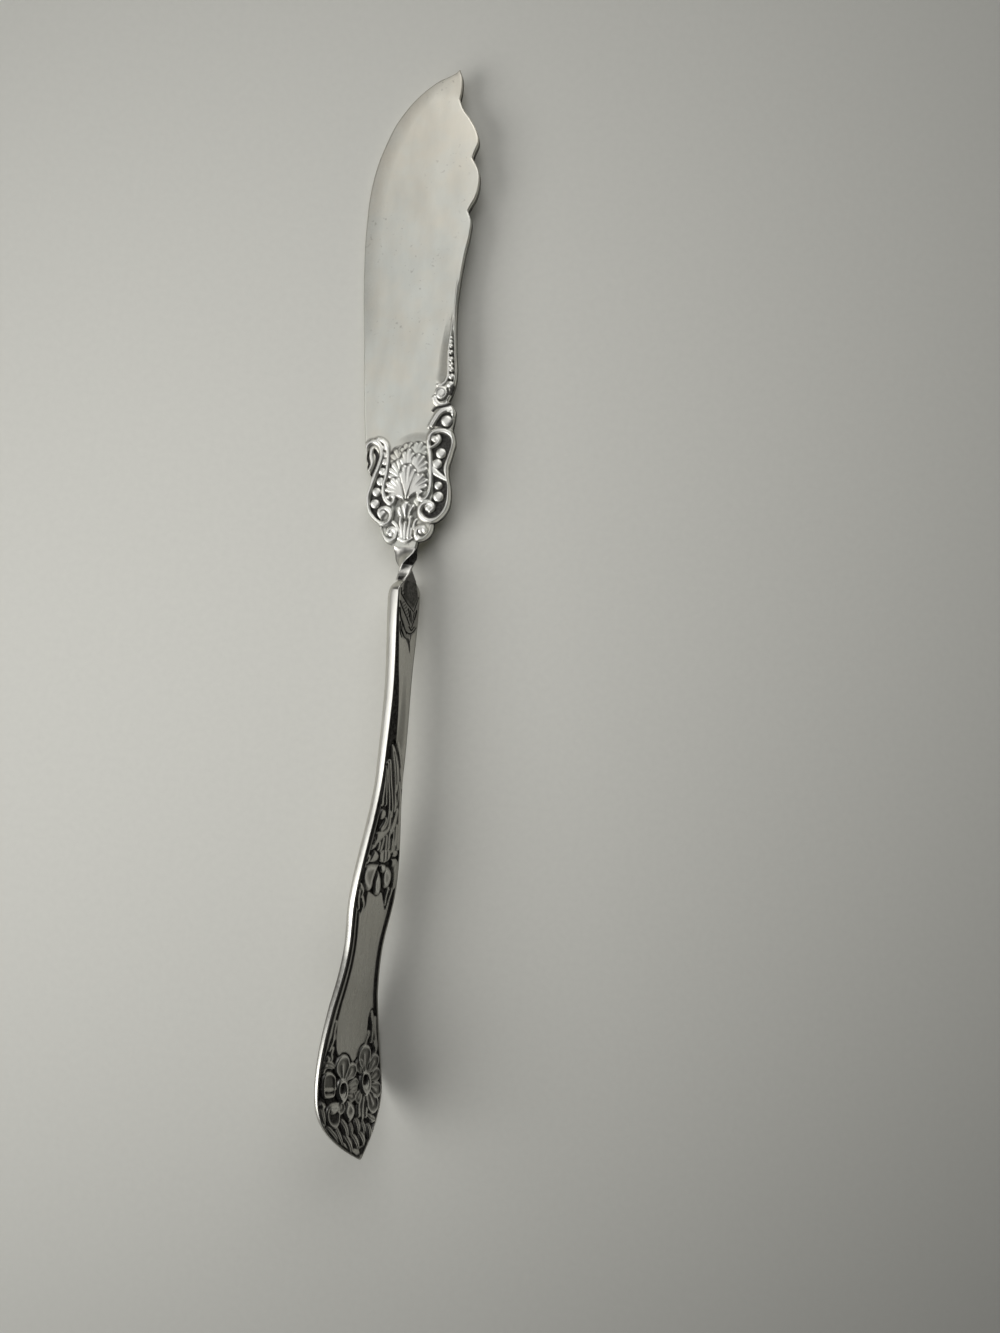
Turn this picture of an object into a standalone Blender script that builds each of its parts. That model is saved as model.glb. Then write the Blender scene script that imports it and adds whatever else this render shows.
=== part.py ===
"""Master butter knife with a twisted neck, at rest on a table.

Metres, +Z up. +Y runs from the end of the handle to the tip of the blade, and +X is the
spine's side of the blade. The blade lies almost flat with its cutting edge on the table,
the neck turns a little more than a quarter turn, and the handle stands on its lower edge.
"""

import math

import bmesh
import bpy
from mathutils import Matrix, Vector

MM = 0.001

# Blade: a wedge with a rounded cutting edge and a scalloped spine.
BLADE_LENGTH = 79.9 * MM
CUTTING_REACH = 13.0 * MM
SPINE_REACH = 6.8 * MM
ROOT_WIDTH = 4.0 * MM
EDGE_THICKNESS = 0.7 * MM
SPINE_THICKNESS = 1.8 * MM

# Neck: a short square bar, twisted between the blade and the handle, and wider at the handle.
NECK_LENGTH = 6.0 * MM
NECK_WIDTH = 3.3 * MM
NECK_THICKNESS = 2.6 * MM
SEAM_WIDTH = 4.1 * MM

# Handle: full widths, each with its distance from the handle's upper end.
HANDLE_LENGTH = 92.0 * MM
SHOULDER_WIDTH = 6.1 * MM
SHOULDER_AT = 2.4 * MM
WAIST_WIDTH = 4.9 * MM
WAIST_AT = 16.5 * MM
SHANK_WIDTH = 5.4 * MM
SHANK_AT = 30.0 * MM
MIDDLE_WIDTH = 10.7 * MM
MIDDLE_AT = 51.0 * MM
PANEL_WAIST_WIDTH = 9.0 * MM
PANEL_WAIST_AT = 59.5 * MM
END_WIDTH = 16.4 * MM
END_AT = 82.3 * MM
TIP_WIDTH = 1.0 * MM

# Handle: thicknesses, the bow of its shank and the curl of its end, both to the front.
SHOULDER_THICKNESS = 3.0 * MM
MIDDLE_THICKNESS = 1.8 * MM
END_THICKNESS = 1.0 * MM
SHANK_BOW = 1.65 * MM
BOW_LENGTH = 68.0 * MM
END_CURL = 4.8 * MM
EDGE_ROUND = 0.35 * MM

# Rest pose: the blade's slope, the handle's lean and its step to the side of the blade's axis.
BLADE_TILT = math.radians(10.0)
HANDLE_LEAN = math.radians(32.4)
HANDLE_SIDESTEP = 0.6 * MM

JOINT_GAP = 0.3 * MM

# Shape laws: how square the end of the handle is, and how late its curl begins.
END_ROUNDNESS = 2.1
CURL_POWER = 2.6
HANDLE_RINGS = 56
NECK_RINGS = 15
CORNER_POINTS = 3
CURVE_STEPS = 5

# Outlines run from the root to the tip, as percent of the blade's length and of that side's
# reach. The third value marks a sharp notch or corner.
SPINE_OUTLINE = (
    (1.4, 32, True), (1.8, 47, False), (2.9, 60, False), (4.4, 66, False), (5.4, 65, True),
    (6.6, 82, False), (8.4, 96, False), (10.5, 100, False), (12.5, 98, False), (16.6, 87, False),
    (20.4, 93, False), (22.3, 96, False), (25.3, 85, True), (27.8, 88, False), (29.0, 87, False),
    (30.9, 68, True), (33.7, 78, False), (36.7, 80, False), (41.4, 72, False), (49.7, 62, False),
    (55.0, 62, False), (60.9, 66, False), (66.1, 73, False), (68.4, 72, False), (70.5, 62, True),
    (71.7, 68, False), (73.4, 77, False), (77.0, 81, False), (79.2, 75, False), (81.5, 58, True),
    (82.6, 61, False), (84.8, 68, False), (87.0, 61, False), (89.8, 40, False), (91.8, 20, False),
    (93.6, 10, True), (95.6, 12, False), (98.3, 9, False),
)
CUTTING_OUTLINE = (
    (0.1, 18, True), (0.5, 25, False), (1.5, 30, False), (2.4, 33, False), (3.2, 35, True),
    (4.0, 37, False), (4.9, 45, False), (6.3, 53, False), (7.9, 57, False), (10.0, 58.5, False),
    (12.1, 56, False), (14.0, 55, True), (15.3, 61, True), (17.3, 64, False), (21.4, 68.5, False),
    (40.3, 84, False), (59.2, 97.5, False), (67.6, 100, False), (75.0, 98.5, False),
    (82.9, 88, False), (90.7, 66, False), (97.0, 29, False), (99.5, 2, False),
)
TIP = (100.0, 0.0, True)

SILVER = (0.72, 0.71, 0.68, 1.0)
SHADED_SILVER = (0.45, 0.44, 0.43, 1.0)


def ease(share):
    """Smooth step from 0 to 1."""
    share = min(max(share, 0.0), 1.0)
    return share * share * (3.0 - 2.0 * share)


def blend(points, at, law):
    """Value at a place along (place, value) points, with a law between neighbours."""
    for (start, low), (end, high) in zip(points, points[1:]):
        if at <= end:
            return low + (high - low) * law((at - start) / (end - start))
    return points[-1][1]


def straight(share):
    """Even change from 0 to 1."""
    return min(max(share, 0.0), 1.0)


def silver_plate(name, colour, roughness):
    """Polished plate of one tone."""
    material = bpy.data.materials.new(name)
    material.use_nodes = True
    shader = material.node_tree.nodes["Principled BSDF"]
    shader.inputs["Base Color"].default_value = colour
    shader.inputs["Metallic"].default_value = 1.0
    shader.inputs["Roughness"].default_value = roughness
    return material


def add_piece(name, mesh, material, collection, rest):
    """Named piece of the knife, hung on the empty that lays it on the table."""
    mesh.materials.append(material)
    mesh.shade_smooth()
    mesh.set_sharp_from_angle(angle=math.radians(35.0))
    piece = bpy.data.objects.new(name, mesh)
    piece.parent = rest
    collection.objects.link(piece)
    return piece


def section(width, thickness):
    """Rounded bar section across the knife: X is its width and Z its thickness."""
    radius = min(EDGE_ROUND, 0.4 * thickness, 0.4 * width)
    points = []
    for quarter, (side, face) in enumerate(((1, 1), (-1, 1), (-1, -1), (1, -1))):
        for step in range(CORNER_POINTS):
            angle = math.radians(90.0) * (quarter + step / (CORNER_POINTS - 1))
            x = side * (0.5 * width - radius) + radius * math.cos(angle)
            z = face * (0.5 * thickness - radius) + radius * math.sin(angle)
            points.append(Vector((x, 0.0, z)))
    return points


def loft(name, rings):
    """Closed bar through rings that have the same number of points."""
    mesh_builder = bmesh.new()
    loops = [[mesh_builder.verts.new(point) for point in ring] for ring in rings]
    count = len(loops[0])
    for near, far in zip(loops, loops[1:]):
        for i in range(count):
            j = (i + 1) % count
            mesh_builder.faces.new((near[i], near[j], far[j], far[i]))
    mesh_builder.faces.new(loops[0])
    mesh_builder.faces.new(loops[-1])
    bmesh.ops.recalc_face_normals(mesh_builder, faces=mesh_builder.faces)
    mesh = bpy.data.meshes.new(name)
    mesh_builder.to_mesh(mesh)
    mesh_builder.free()
    return mesh


def placement(centre, roll, pitch):
    """Frame of a section: rolled about the knife's axis, then pitched up at the handle's end."""
    turn = Matrix.Rotation(-pitch, 4, "X") @ Matrix.Rotation(-roll, 4, "Y")
    return Matrix.Translation(centre) @ turn


# Blade

def blade_thickness(across):
    """Thickness of the wedge, from the cutting edge to the spine."""
    share = (across + CUTTING_REACH) / (CUTTING_REACH + SPINE_REACH)
    return EDGE_THICKNESS + (SPINE_THICKNESS - EDGE_THICKNESS) * share


def blade_outline():
    """Closed outline of the blade: root, spine, tip and cutting edge."""
    outline = [(0.5 * ROOT_WIDTH, 0.0, True)]
    for along, across, sharp in SPINE_OUTLINE + (TIP,):
        outline.append((0.01 * across * SPINE_REACH, 0.01 * along * BLADE_LENGTH, sharp))
    for along, across, sharp in reversed(CUTTING_OUTLINE):
        outline.append((-0.01 * across * CUTTING_REACH, 0.01 * along * BLADE_LENGTH, sharp))
    outline.append((-0.5 * ROOT_WIDTH, 0.0, True))
    return outline


def blade_mesh():
    """Flat outline filled and extruded, then ground to a wedge on its back."""
    curve = bpy.data.curves.new("blade_outline", "CURVE")
    curve.dimensions = "2D"
    curve.fill_mode = "BOTH"
    curve.resolution_u = CURVE_STEPS
    curve.extrude = 0.5 * SPINE_THICKNESS
    spline = curve.splines.new("BEZIER")
    outline = blade_outline()
    spline.bezier_points.add(len(outline) - 1)
    spline.use_cyclic_u = True
    for point, (x, y, sharp) in zip(spline.bezier_points, outline):
        point.co = (x, y, 0.0)
        point.handle_left_type = "VECTOR" if sharp else "AUTO"
        point.handle_right_type = point.handle_left_type
    plate = bpy.data.objects.new("blade_outline", curve)
    bpy.context.scene.collection.objects.link(plate)
    bpy.context.view_layer.update()
    depsgraph = bpy.context.evaluated_depsgraph_get()
    mesh = bpy.data.meshes.new_from_object(plate.evaluated_get(depsgraph))
    bpy.data.objects.remove(plate, do_unlink=True)

    mesh_builder = bmesh.new()
    mesh_builder.from_mesh(mesh)
    bmesh.ops.remove_doubles(mesh_builder, verts=mesh_builder.verts, dist=0.001 * MM)
    for vertex in mesh_builder.verts:
        on_back = vertex.co.z < 0.0
        vertex.co.z = -blade_thickness(vertex.co.x) if on_back else 0.0
    bmesh.ops.recalc_face_normals(mesh_builder, faces=mesh_builder.faces)
    mesh_builder.to_mesh(mesh)
    mesh_builder.free()
    mesh.name = "blade"
    return mesh


def blade_placement():
    """Blade with its cutting edge's lower corner on the table."""
    height = CUTTING_REACH * math.sin(BLADE_TILT) + EDGE_THICKNESS * math.cos(BLADE_TILT)
    return placement(Vector((0.0, 0.0, height)), BLADE_TILT, 0.0)


# Handle

def handle_width(at):
    """Full width of the handle at a distance from its upper end."""
    if at > END_AT:
        share = (at - END_AT) / (HANDLE_LENGTH - END_AT)
        return TIP_WIDTH + (END_WIDTH - TIP_WIDTH) * (1.0 - share ** END_ROUNDNESS)
    widths = (
        (0.0, SEAM_WIDTH), (SHOULDER_AT, SHOULDER_WIDTH), (WAIST_AT, WAIST_WIDTH),
        (SHANK_AT, SHANK_WIDTH), (MIDDLE_AT, MIDDLE_WIDTH),
        (PANEL_WAIST_AT, PANEL_WAIST_WIDTH), (END_AT, END_WIDTH),
    )
    return blend(widths, at, ease)


def handle_thickness(at):
    """Thickness of the handle, falling from the shoulder to the end."""
    thicknesses = (
        (0.0, SHOULDER_THICKNESS), (MIDDLE_AT, MIDDLE_THICKNESS), (END_AT, END_THICKNESS),
    )
    return blend(thicknesses, at, straight)


def handle_bow(at):
    """How far the middle of the handle's thickness stands to the front."""
    bow = SHANK_BOW * math.sin(math.pi * straight(at / BOW_LENGTH))
    curl = END_CURL * straight((at - BOW_LENGTH) / (HANDLE_LENGTH - BOW_LENGTH)) ** CURL_POWER
    return bow + curl


def handle_mesh():
    """Handle along -Y from its upper end, its front facing -Z."""
    rings = []
    for i in range(HANDLE_RINGS + 1):
        share = i / HANDLE_RINGS
        at = HANDLE_LENGTH * share
        shift = Vector((0.0, -at, -handle_bow(at)))
        rings.append([point + shift for point in section(handle_width(at), handle_thickness(at))])
    return loft("handle", rings)


def handle_clearance(at):
    """Height that the handle's axis needs at a place, so that its lower edge meets the table."""
    half_width = 0.5 * handle_width(at)
    back = 0.5 * handle_thickness(at) - handle_bow(at)
    return half_width * math.cos(HANDLE_LEAN) + back * math.sin(HANDLE_LEAN)


def handle_pitch():
    """Slope of the handle when its shoulder and its end both touch the table."""
    rise = handle_clearance(END_AT) - handle_clearance(SHOULDER_AT)
    return math.atan2(rise, END_AT - SHOULDER_AT)


def handle_roll():
    """The neck's full turn carries the spine's side of the blade to the handle's upper edge."""
    return math.radians(90.0) + HANDLE_LEAN


def handle_placement():
    """Handle standing on its lower edge behind the neck."""
    pitch = handle_pitch()
    height = handle_clearance(SHOULDER_AT) - SHOULDER_AT * math.tan(pitch)
    centre = Vector((HANDLE_SIDESTEP, -NECK_LENGTH - 2.0 * JOINT_GAP, height))
    return placement(centre, handle_roll(), pitch)


# Neck

def neck_mesh():
    """Bar from the blade's root to the handle's upper end, turned ring by ring."""
    root_thickness = blade_thickness(0.0)
    start = blade_placement() @ Vector((0.0, -JOINT_GAP, -0.5 * root_thickness))
    end = handle_placement() @ Vector((0.0, JOINT_GAP, 0.0))
    widths = ((0.0, ROOT_WIDTH), (0.4, NECK_WIDTH), (0.7, NECK_WIDTH), (1.0, SEAM_WIDTH))
    thicknesses = ((0.0, root_thickness), (0.5, NECK_THICKNESS), (1.0, SHOULDER_THICKNESS))
    rings = []
    for i in range(NECK_RINGS + 1):
        share = i / NECK_RINGS
        turn = ease(share)
        roll = BLADE_TILT + (handle_roll() - BLADE_TILT) * turn
        frame = placement(start.lerp(end, share), roll, handle_pitch() * turn)
        ring = section(blend(widths, share, ease), blend(thicknesses, share, ease))
        rings.append([frame @ point for point in ring])
    return loft("twisted_neck", rings)


def lay_on_table(rest, pieces):
    """Move the knife so that its origin is under its middle, on the table."""
    bpy.context.view_layer.update()
    corners = [piece.matrix_world @ vertex.co for piece in pieces for vertex in piece.data.vertices]
    low = [min(corner[axis] for corner in corners) for axis in range(3)]
    high = [max(corner[axis] for corner in corners) for axis in range(3)]
    rest.location = (-0.5 * (low[0] + high[0]), -0.5 * (low[1] + high[1]), -low[2])
    bpy.context.view_layer.update()


def main():
    for old in list(bpy.data.objects):
        bpy.data.objects.remove(old, do_unlink=True)
    collection = bpy.data.collections.new("master_butter_knife")
    bpy.context.scene.collection.children.link(collection)
    rest = bpy.data.objects.new("rest_on_table", None)
    collection.objects.link(rest)

    blade = add_piece("blade", blade_mesh(), silver_plate("blade_plate", SILVER, 0.35), collection, rest)
    blade.matrix_basis = blade_placement()
    neck = add_piece(
        "twisted_neck", neck_mesh(), silver_plate("neck_plate", SILVER, 0.25), collection, rest
    )
    handle = add_piece(
        "handle", handle_mesh(), silver_plate("handle_plate", SHADED_SILVER, 0.25), collection, rest
    )
    handle.matrix_basis = handle_placement()
    lay_on_table(rest, (blade, neck, handle))


main()
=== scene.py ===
"""Looks of the master butter knife: struck ornament as real relief, silver plate, patina and painted shade.

Shapes are worked out in millimetres in the frame of the CAD model and written in metres. Ornament is
drawn as strokes and outlines in pixels of the 1000 x 1333 photograph, x and y in turn, and cast from
the camera on to the face that carries it.
"""

import math

import bpy
import numpy as np
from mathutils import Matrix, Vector


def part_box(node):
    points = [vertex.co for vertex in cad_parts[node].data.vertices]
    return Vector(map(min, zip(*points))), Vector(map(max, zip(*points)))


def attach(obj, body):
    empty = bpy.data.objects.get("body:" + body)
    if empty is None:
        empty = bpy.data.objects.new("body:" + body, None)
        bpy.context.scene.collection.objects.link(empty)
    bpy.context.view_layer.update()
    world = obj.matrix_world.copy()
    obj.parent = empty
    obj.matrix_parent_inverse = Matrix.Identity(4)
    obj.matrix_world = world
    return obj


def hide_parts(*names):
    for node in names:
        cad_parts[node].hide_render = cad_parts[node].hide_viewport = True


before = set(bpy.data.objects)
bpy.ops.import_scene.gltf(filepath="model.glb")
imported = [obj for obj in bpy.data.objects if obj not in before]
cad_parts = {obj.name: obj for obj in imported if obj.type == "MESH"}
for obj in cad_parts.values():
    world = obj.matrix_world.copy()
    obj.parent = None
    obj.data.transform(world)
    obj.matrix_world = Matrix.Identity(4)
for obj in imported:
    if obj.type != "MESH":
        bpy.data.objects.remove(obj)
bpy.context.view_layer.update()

MM = 0.001
PERCENT = 0.01
TINY, FAR = 1e-9, 1e9
QUARTER = 0.5 * math.pi

# Sizes of the solids, as in the CAD model.
BLADE_LENGTH = 79.9
CUTTING_REACH = 13.0
SPINE_REACH = 6.8
ROOT_WIDTH = 4.0
EDGE_THICKNESS = 0.7
SPINE_THICKNESS = 1.8
NECK_LENGTH = 6.0
SEAM_WIDTH = 4.1
HANDLE_LENGTH = 92.0
SHOULDER_WIDTH, SHOULDER_AT = 6.1, 2.4
WAIST_WIDTH, WAIST_AT = 4.9, 16.5
SHANK_WIDTH, SHANK_AT = 5.4, 30.0
MIDDLE_WIDTH, MIDDLE_AT = 10.7, 51.0
PANEL_WAIST_WIDTH, PANEL_WAIST_AT = 9.0, 59.5
END_WIDTH, END_AT = 16.4, 82.3
TIP_WIDTH = 1.0
SHOULDER_THICKNESS = 3.0
MIDDLE_THICKNESS = 1.8
END_THICKNESS = 1.0
SHANK_BOW = 1.65
BOW_LENGTH = 68.0
END_CURL = 4.8
END_ROUNDNESS = 2.1
CURL_POWER = 2.6
BLADE_TILT = math.radians(10.0)
HANDLE_LEAN = math.radians(32.4)
HANDLE_ROLL = math.radians(90.0) + HANDLE_LEAN
HANDLE_SIDESTEP = 0.6
JOINT_GAP = 0.3

# Outlines of the blade from its root to its tip: percent of its length and percent of that side's reach,
# in turn. The corners give where along it the outline is sharp. Elsewhere it is round.
SPINE_OUTLINE = (
    0.0, 29.4, 1.4, 32, 1.8, 47, 2.9, 60, 4.4, 66, 5.4, 65, 6.6, 82, 8.4, 96, 10.5, 100, 12.5, 98, 16.6, 87,
    20.4, 93, 22.3, 96, 25.3, 85, 27.8, 88, 29.0, 87, 30.9, 68, 33.7, 78, 36.7, 80, 41.4, 72, 49.7, 62,
    55.0, 62, 60.9, 66, 66.1, 73, 68.4, 72, 70.5, 62, 71.7, 68, 73.4, 77, 77.0, 81, 79.2, 75, 81.5, 58,
    82.6, 61, 84.8, 68, 87.0, 61, 89.8, 40, 91.8, 20, 93.6, 10, 95.6, 12, 98.3, 9, 100.0, 0.0,
)
SPINE_CORNERS = (0.0, 1.4, 5.4, 25.3, 30.9, 70.5, 81.5, 93.6, 100.0)
CUTTING_OUTLINE = (
    0.0, 15.4, 0.1, 18, 0.5, 25, 1.5, 30, 2.4, 33, 3.2, 35, 4.0, 37, 4.9, 45, 6.3, 53, 7.9, 57, 10.0, 58.5,
    12.1, 56, 14.0, 55, 15.3, 61, 17.3, 64, 21.4, 68.5, 40.3, 84, 59.2, 97.5, 67.6, 100, 75.0, 98.5,
    82.9, 88, 90.7, 66, 97.0, 29, 99.5, 2, 100.0, 0.0,
)
CUTTING_CORNERS = (0.0, 0.1, 3.2, 14.0, 15.3, 100.0)
OUTLINE_STEPS = 12
STRAIGHT_ARM, ROUND_ARM = 3.0, 2.5614

# The photograph's camera: a phone held over the table.
PHOTO_CENTRE = (500.0, 666.5)
PHOTO_LONG_SIDE = 1333.0
FOCAL_PIXELS = 1050.0
CAMERA_PLACE = np.array((20.93, -8.58, 177.3))
CAMERA_TURN = math.radians(6.6)
SENSOR_MM = 36.0
CLIP_START = 0.005
STROKE_STEPS = 6
CAST_ROUNDS = 8


# Small mathematics

def ease(share):
    """Smooth step from 0 to 1."""
    share = np.clip(share, 0.0, 1.0)
    return share * share * (3.0 - 2.0 * share)


def ramp(value, start, full):
    """Smooth step from 0 at one value to 1 at another."""
    return ease((value - start) / (full - start))


def eased_table(stations, at):
    """Eased values between (place, value) stations."""
    places, values = np.array(stations).T
    at = np.asarray(at, float)
    left = np.clip(np.searchsorted(places, at, side="right") - 1, 0, len(places) - 2)
    share = ease((at - places[left]) / (places[left + 1] - places[left]))
    return values[left] + (values[left + 1] - values[left]) * share


def smooth_path(points):
    """Curve through points (Catmull-Rom), as a polyline."""
    if len(points) < 3:
        return points
    ends = np.vstack((2 * points[0] - points[1], points, 2 * points[-1] - points[-2]))
    t = np.linspace(0.0, 1.0, STROKE_STEPS, endpoint=False)[:, None]
    pieces = []
    for a, b, c, d in zip(ends, ends[1:], ends[2:], ends[3:]):
        pieces.append(0.5 * (2 * b + (c - a) * t + (2 * a - 5 * b + 4 * c - d) * t * t
                             + (3 * b - a - 3 * c + d) * t ** 3))
    return np.vstack(pieces + [points[-1:]])


def outline_reach(outline, corners, reach, along):
    """Distance of an outline from the blade's axis, at places along it."""
    stations = np.reshape(outline, (-1, 2))
    sharp = np.isin(stations[:, 0], corners)
    points = PERCENT * stations * (BLADE_LENGTH, reach)
    steps = np.diff(points, axis=0)
    lengths = np.hypot(steps[:, 0], steps[:, 1])
    unit = steps / lengths[:, None]

    def arm(point, stretch):
        """Bezier arm at a point for one of its stretches: along the bisector where the outline is round."""
        if sharp[point]:
            return unit[stretch] * lengths[stretch] / STRAIGHT_ARM
        bisector = unit[point - 1] + unit[point]
        return bisector / np.hypot(*bisector) * lengths[stretch] / ROUND_ARM

    t = np.linspace(0.0, 1.0, OUTLINE_STEPS)[:, None]
    line = []
    for i, (start, stop) in enumerate(zip(points, points[1:])):
        leave, arrive = start + arm(i, i), stop - arm(i + 1, i)
        line.append((1 - t) ** 3 * start + 3 * t * (1 - t) ** 2 * leave
                    + 3 * t * t * (1 - t) * arrive + t ** 3 * stop)
    line = np.vstack(line)
    return np.interp(along, np.maximum.accumulate(line[:, 0]), line[:, 1])


# Where the pieces lie

def axes(roll, pitch):
    """Width, length and front directions of a section rolled about the knife's axis."""
    across = np.array((math.cos(roll), 0.0, math.sin(roll)))
    along = np.array((0.0, 1.0, 0.0))
    face = np.array((-math.sin(roll), 0.0, math.cos(roll)))
    tip = np.array(((1, 0, 0), (0, math.cos(pitch), math.sin(pitch)),
                    (0, -math.sin(pitch), math.cos(pitch))))
    return tip @ across, tip @ along, tip @ face


def handle_width(at):
    """Full width of the handle at a distance from its upper end."""
    at = np.asarray(at, float)
    stations = (
        (0.0, SEAM_WIDTH), (SHOULDER_AT, SHOULDER_WIDTH), (WAIST_AT, WAIST_WIDTH),
        (SHANK_AT, SHANK_WIDTH), (MIDDLE_AT, MIDDLE_WIDTH),
        (PANEL_WAIST_AT, PANEL_WAIST_WIDTH), (END_AT, END_WIDTH),
    )
    share = np.clip((at - END_AT) / (HANDLE_LENGTH - END_AT), 0.0, 1.0)
    end = TIP_WIDTH + (END_WIDTH - TIP_WIDTH) * (1.0 - share ** END_ROUNDNESS)
    return np.where(at > END_AT, end, eased_table(stations, np.minimum(at, END_AT)))


def handle_thickness(at):
    """Thickness of the handle."""
    return np.interp(at, (0.0, MIDDLE_AT, END_AT), (SHOULDER_THICKNESS, MIDDLE_THICKNESS, END_THICKNESS))


def handle_bow(at):
    """How far the middle of the handle's thickness stands to its front."""
    bow = SHANK_BOW * np.sin(math.pi * np.clip(at / BOW_LENGTH, 0.0, 1.0))
    late = np.clip((at - BOW_LENGTH) / (HANDLE_LENGTH - BOW_LENGTH), 0.0, 1.0)
    return bow + END_CURL * late ** CURL_POWER


def handle_clearance(at):
    """Height of the handle's axis over the table where its lower edge touches."""
    back = 0.5 * handle_thickness(at) - handle_bow(at)
    return float(0.5 * handle_width(at) * math.cos(HANDLE_LEAN) + back * math.sin(HANDLE_LEAN))


HANDLE_PITCH = math.atan2(handle_clearance(END_AT) - handle_clearance(SHOULDER_AT), END_AT - SHOULDER_AT)
BLADE_CORNER = np.array(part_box("blade")[0]) / MM
BLADE_ROOT = BLADE_CORNER + np.array((
    CUTTING_REACH * math.cos(BLADE_TILT),
    0.0,
    CUTTING_REACH * math.sin(BLADE_TILT) + EDGE_THICKNESS * math.cos(BLADE_TILT),
))
HANDLE_TOP = np.array((
    BLADE_ROOT[0] + HANDLE_SIDESTEP,
    BLADE_ROOT[1] - NECK_LENGTH - 2.0 * JOINT_GAP,
    BLADE_CORNER[2] + handle_clearance(SHOULDER_AT) - SHOULDER_AT * math.tan(HANDLE_PITCH),
))
BLADE_AXES = axes(BLADE_TILT, 0.0)
HANDLE_AXES = axes(HANDLE_ROLL, HANDLE_PITCH)


# From the photograph to the faces

def rays(pixels):
    """Directions from the camera through pixels of the photograph."""
    pixels = np.reshape(pixels, (-1, 2))
    right = (pixels[:, 0] - PHOTO_CENTRE[0]) / FOCAL_PIXELS
    up = (PHOTO_CENTRE[1] - pixels[:, 1]) / FOCAL_PIXELS
    c, s = math.cos(CAMERA_TURN), math.sin(CAMERA_TURN)
    return np.stack((c * right - s * up, s * right + c * up, -np.ones(len(pixels))), 1)


def on_blade(pixels):
    """Pixels cast on to the blade's front: across to the spine, and along to the tip."""
    across, along, face = BLADE_AXES
    rays_out = rays(pixels)
    reach = ((BLADE_ROOT - CAMERA_PLACE) @ face) / (rays_out @ face)
    points = CAMERA_PLACE + rays_out * reach[:, None] - BLADE_ROOT
    return np.stack((points @ across, points @ along), 1)


def on_handle(pixels):
    """Pixels cast on to the handle's bowed front: across to its upper edge, and down from its upper end."""
    across, along, back = HANDLE_AXES
    rays_out = rays(pixels)
    proud = np.zeros(len(rays_out))
    for _ in range(CAST_ROUNDS):
        reach = ((HANDLE_TOP - CAMERA_PLACE) @ back - proud) / (rays_out @ back)
        points = CAMERA_PLACE + rays_out * reach[:, None] - HANDLE_TOP
        at = -(points @ along)
        proud = handle_bow(at) + 0.5 * handle_thickness(at)
    return np.stack((points @ across, at), 1)


# Struck relief. Profiles of the forms: shares of a form's own width or height, powers, and how fast its
# stain sets in from the border.
WALL_POWER = 0.8
THREAD_CROWN, THREAD_COVER = 0.15, 3.5
LEAF_END, LEAF_SWELL = 0.25, 0.6
GROOVE_COVER, DARK_BAND_START = 1.6, 0.35
BEAD_POWER, BEAD_COVER = 3, 7.0
PLATE_FACE, PLATE_COVER = 0.8, 0.5
PETAL_ROOT, PETAL_SPREAD, PETAL_TIP = 0.32, 1.1, 0.7
PETAL_WALL, PETAL_FACE = 0.22, 0.62
PETAL_RIM_AT, PETAL_RIM_HALF = 0.76, 0.2
VEIN_HALF, VEIN_HEIGHT = 0.22, 0.8


def wall_rise(share):
    """Height of a struck wall at a share of its width: steep at its foot and round at its top."""
    return (1.0 - (1.0 - np.clip(share, 0.0, 1.0)) ** 2) ** WALL_POWER


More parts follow.
